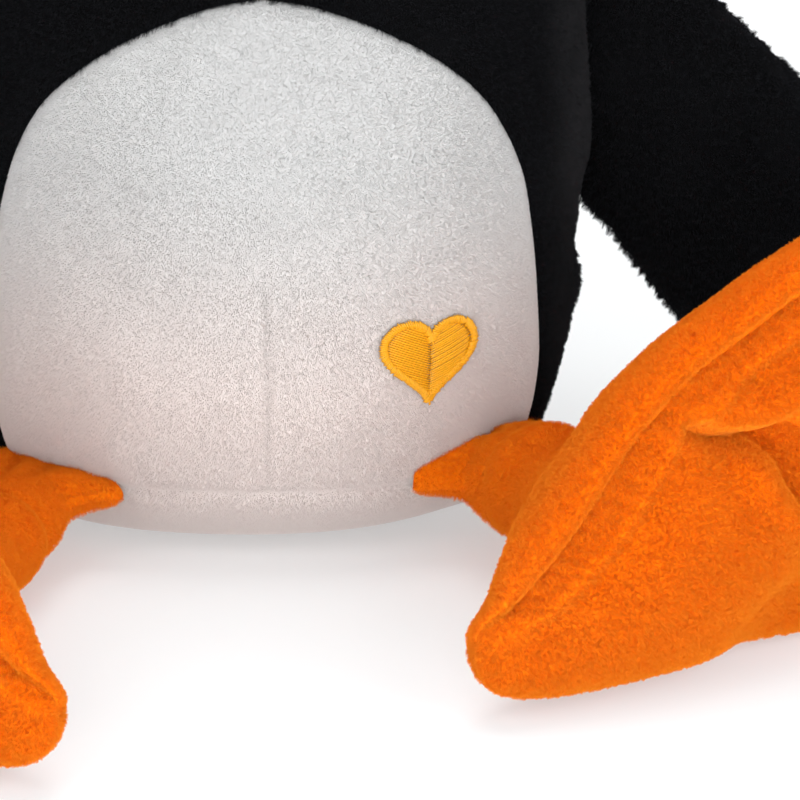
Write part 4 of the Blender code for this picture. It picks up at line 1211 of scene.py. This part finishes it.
# =============================================================================================
# Wing, leg, head side and gusset pieces: their transforms are applied to their meshes
# =============================================================================================
for side, word in SIDES:
    for which in ("front", "back"):
        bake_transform(pieces[f"wing_{word}_{which}"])
    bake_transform(pieces[f"leg_{word}"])
    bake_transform(pieces[f"head_{word}"])
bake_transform(pieces["gusset"])


# =============================================================================================
# Care label
# =============================================================================================
def label_piece():
    """Ribbon that leaves the body at the back left, folds over at its end and comes back."""
    length, half_width, half_gap, root_depth = 16.0, 6, 0.45, 1.5
    fold = 0.08  # share of the half ribbon in the fold
    root = skin(math.radians(128), 33.0)
    out = np.array((root[0], root[1], 0.0))
    out /= np.linalg.norm(out)
    sideways = np.cross((0, 0, 1.0), out)
    z = np.linspace(-half_width, half_width, 24)[:, None, None]
    along = np.linspace(-1, 1, 60)
    folded = np.abs(along) < fold
    reach = np.where(folded,
                     length + 0.44 * np.sqrt(np.clip(1 - (along / fold) ** 2, 0, 1)),
                     length * (1 - (np.abs(along) - fold) / (1 - fold))) - root_depth
    gap = np.where(folded, half_gap * np.sin(along / fold * PI / 2), half_gap * np.sign(along))
    wave = 0.9 * np.sin(reach / length * 2.2)
    points = (root + out * reach[None, :, None] + sideways * (gap + wave)[None, :, None]
              + np.array((0, 0, 1.0)) * z)
    points = points + sideways * (0.25 * np.sin(z / 3.0))
    label = make_grid("care_label_ribbon", points)
    wall = label.modifiers.new("wall", "SOLIDIFY")
    wall.thickness = 0.22 * MM
    wall.offset = -1
    return label


add_piece("label", label_piece(), "label_satin", ["care_label"], ride="torso")

# =============================================================================================
# Embroidered heart, on the left of the belly
# =============================================================================================
EMBLEM_TURN, EMBLEM_Z, EMBLEM_R = math.radians(28.0), 54.0, 11.5
EMBLEM_BODY_RADIUS = 74  # mm per radian of turn
THREAD_RADIUS = 0.27
STITCH_STEPS = np.linspace(0, 1, 9)
STITCH_ARCH = np.sin(STITCH_STEPS * PI) ** 0.6
LIFT_SPREAD = 0.09


def heart_line(count):
    t = np.linspace(0, 2 * PI, 2000, endpoint=False)
    y = (13 * np.cos(t) - 5 * np.cos(2 * t) - 2 * np.cos(3 * t) - np.cos(4 * t) + 2) / 16
    return even_loop(np.stack([np.sin(t) ** 3, y], -1) * EMBLEM_R, count)


def on_belly(line, lift):
    """Points of a flat line laid on the belly and raised off it."""
    turn = EMBLEM_TURN + line[:, 0] / EMBLEM_BODY_RADIUS
    return skin(turn, EMBLEM_Z + line[:, 1]) + outward(turn) * lift[..., None]


def threads(lines, radius):
    """Round threads along polylines given as (lines, steps, 3)."""
    sides = 6
    count, steps, _ = lines.shape
    ahead = unit(np.gradient(lines, axis=1))
    across = np.cross(ahead, (math.sin(EMBLEM_TURN), -math.cos(EMBLEM_TURN), 0.0))
    across /= np.linalg.norm(across, axis=-1, keepdims=True)
    rise = np.cross(ahead, across)
    turn = np.linspace(0, 2 * PI, sides, endpoint=False)
    taper = np.ones(steps)
    taper[0] = taper[-1] = 0.55
    size = (radius * taper)[:, None]
    verts = (lines[:, :, None] + across[:, :, None] * (np.cos(turn) * size)[None, ..., None]
             + rise[:, :, None] * (np.sin(turn) * size)[None, ..., None])
    tube = np.array(grid_faces(steps, sides, wrap=True))
    faces = []
    for k in range(count):
        first = k * steps * sides
        last = first + (steps - 1) * sides
        faces += (tube + first).tolist()
        faces.append([first + j for j in range(sides)][::-1])
        faces.append([last + j for j in range(sides)])
    return verts, faces


def heart_filling(rng):
    """Two halves of slanted satin stitches meeting down the middle."""
    outline = heart_line(720)[::6]
    lines = []
    for half in (-1, 1):
        slant = math.radians(24 * half)
        direction = np.array((math.cos(slant), math.sin(slant))) * half
        for start_y in np.arange(-16, 16, 0.60):
            ray = np.array((0.0, start_y)) + direction * np.linspace(0, 16, 260)[:, None]
            ray = ray[is_inside(ray[:, 0], ray[:, 1], outline)]
            if len(ray) < 12:
                continue
            jitter = rng.normal(0, 0.10, 2)
            start = ray[0] + direction * jitter[0] - direction * 0.25
            end = ray[-1] + direction * (jitter[1] - 0.5)
            line = start + (end - start) * STITCH_STEPS[:, None]
            lift = 0.95 + 0.55 * STITCH_ARCH + rng.normal(0, LIFT_SPREAD)
            lines.append(on_belly(line, lift))
    return lines


def heart_border(rng):
    """A satin column over the outline."""
    ring = heart_line(150)
    tangent = unit(np.roll(ring, -1, 0) - np.roll(ring, 1, 0))
    normal = np.stack([tangent[:, 1], -tangent[:, 0]], -1)
    lines = []
    for point, skewed in zip(ring, normal + tangent * 0.35):
        width, stretch = 1.0 + rng.normal(0, 0.09), 1.0 + rng.normal(0, 0.09)
        line = point + skewed * width * (1 - 2 * STITCH_STEPS[:, None]) * stretch
        lift = 1.15 + 0.75 * STITCH_ARCH + rng.normal(0, LIFT_SPREAD)
        lines.append(on_belly(line, lift))
    return lines


def emblem_piece():
    rng = np.random.default_rng(7)
    lines = heart_filling(rng) + heart_border(rng)
    return make("heart_embroidery", *threads(np.array(lines), THREAD_RADIUS))


add_piece("emblem", emblem_piece(), "emblem_thread", ["belly_emblem"], ride="torso")

# =============================================================================================
# Floor, lights, world and camera, in metres
# =============================================================================================
scene = bpy.context.scene
scene.view_settings.view_transform = "Standard"
WHITE = (1, 1, 1, 1)


def floor_material():
    """Softly glowing matte white that runs out into plain white far from the object."""
    n = Nodes("studio_white")
    glow = n.add("ShaderNodeEmission", {"Strength": 1.55, "Color": WHITE})
    matte = n.add("ShaderNodeBsdfDiffuse", {"Roughness": 1.0, "Color": (0.858, 0.875, 0.883, 1)})
    both = n.add("ShaderNodeMixShader", {0: 0.80, 1: glow.outputs[0], 2: matte.outputs[0]})
    where = n.add("ShaderNodeTexCoord").outputs["Object"]
    distance = n.add("ShaderNodeVectorMath", {0: where}, operation="LENGTH").outputs["Value"]
    far = n.map_range(distance, 0.45, 1.1)
    seen = n.add("ShaderNodeLightPath").outputs["Is Camera Ray"]
    white = n.add("ShaderNodeEmission", {"Strength": 1.0, "Color": WHITE})
    return n.surface(n.add("ShaderNodeMixShader", {0: n.math("MULTIPLY", far, seen),
                                                   1: both.outputs[0], 2: white.outputs[0]}))


def floor_disc():
    """Seamless floor, far larger than the object on every side."""
    rings, rays, size = 24, 64, 9000
    radius = size * np.linspace(0.1, 1, rings)[:, None] ** 2
    turn = np.linspace(0, 2 * PI, rays, endpoint=False)
    points = np.stack([radius * np.cos(turn), radius * np.sin(turn), np.zeros((rings, rays))], -1)
    return make_disc("studio_floor", (0.0, 0.0, 0.0), points)


floor = floor_disc()
floor.data.materials.append(floor_material())


def place(obj, at, aim):
    """Put a lamp or camera at a point, looking at another."""
    obj.location = at
    obj.rotation_mode = "QUATERNION"
    obj.rotation_quaternion = (Vector(aim) - Vector(at)).to_track_quat("-Z", "Y")
    scene.collection.objects.link(obj)


def softbox(name, at, aim, size, energy, height=None):
    """Round area light; with a height it is an ellipse. Energy in watts."""
    data = bpy.data.lights.new(name, "AREA")
    data.shape, data.size, data.energy = "DISK", size, energy
    if height:
        data.shape, data.size_y = "ELLIPSE", height
    lamp = bpy.data.objects.new(name, data)
    lamp.visible_camera = False
    place(lamp, at, aim)


softbox("key", at=(-0.60, -1.00, 0.85), aim=(0.02, -0.05, 0.06), size=0.9, energy=2.2)
softbox("fill", at=(0.90, -0.90, 0.60), aim=(0.03, -0.05, 0.06), size=0.9, energy=3.4)
softbox("front", at=(0.03, -1.60, 0.24), aim=(0.02, -0.05, 0.04), size=1.1, energy=4.5)
softbox("low", at=(0.03, -1.45, 0.16), aim=(0.02, -0.05, 0.02), size=1.5, energy=8.6,
        height=0.28)
softbox("skim", at=(0.04, -1.00, 0.035), aim=(0.02, -0.05, 0.035), size=0.9, energy=1.3,
        height=0.06)
softbox("top", at=(0.0, 0.10, 1.35), aim=(0.0, -0.03, 0.0), size=1.1, energy=8.0)
softbox("rear", at=(0.15, 0.75, 1.25), aim=(0.15, 0.45, 0.0), size=0.8, energy=7.0)
softbox("back", at=(-0.55, 1.45, 0.75), aim=(0.0, 0.0, 0.12), size=0.9, energy=7.0)


def add_world():
    """Plain white to the camera, dimmer white as a light."""
    world = bpy.data.worlds.new("studio")
    scene.world = world
    world.use_nodes = True
    nodes, links = world.node_tree.nodes, world.node_tree.links
    ambient = nodes["Background"]
    ambient.inputs["Color"].default_value = WHITE
    ambient.inputs["Strength"].default_value = 0.39
    backdrop = nodes.new("ShaderNodeBackground")
    backdrop.inputs["Color"].default_value = WHITE
    pick = nodes.new("ShaderNodeMixShader")
    seen = nodes.new("ShaderNodeLightPath").outputs["Is Camera Ray"]
    for k, source in enumerate((seen, ambient.outputs[0], backdrop.outputs[0])):
        links.new(source, pick.inputs[k])
    links.new(pick.outputs[0], nodes["World Output"].inputs["Surface"])


def add_camera():
    data = bpy.data.cameras.new("camera")
    data.lens, data.sensor_width = 175.5, 36.0
    camera = bpy.data.objects.new("camera", data)
    place(camera, at=(0.0, -0.965, 0.300), aim=(0.033, -0.030, 0.035))
    scene.camera = camera


add_world()
add_camera()
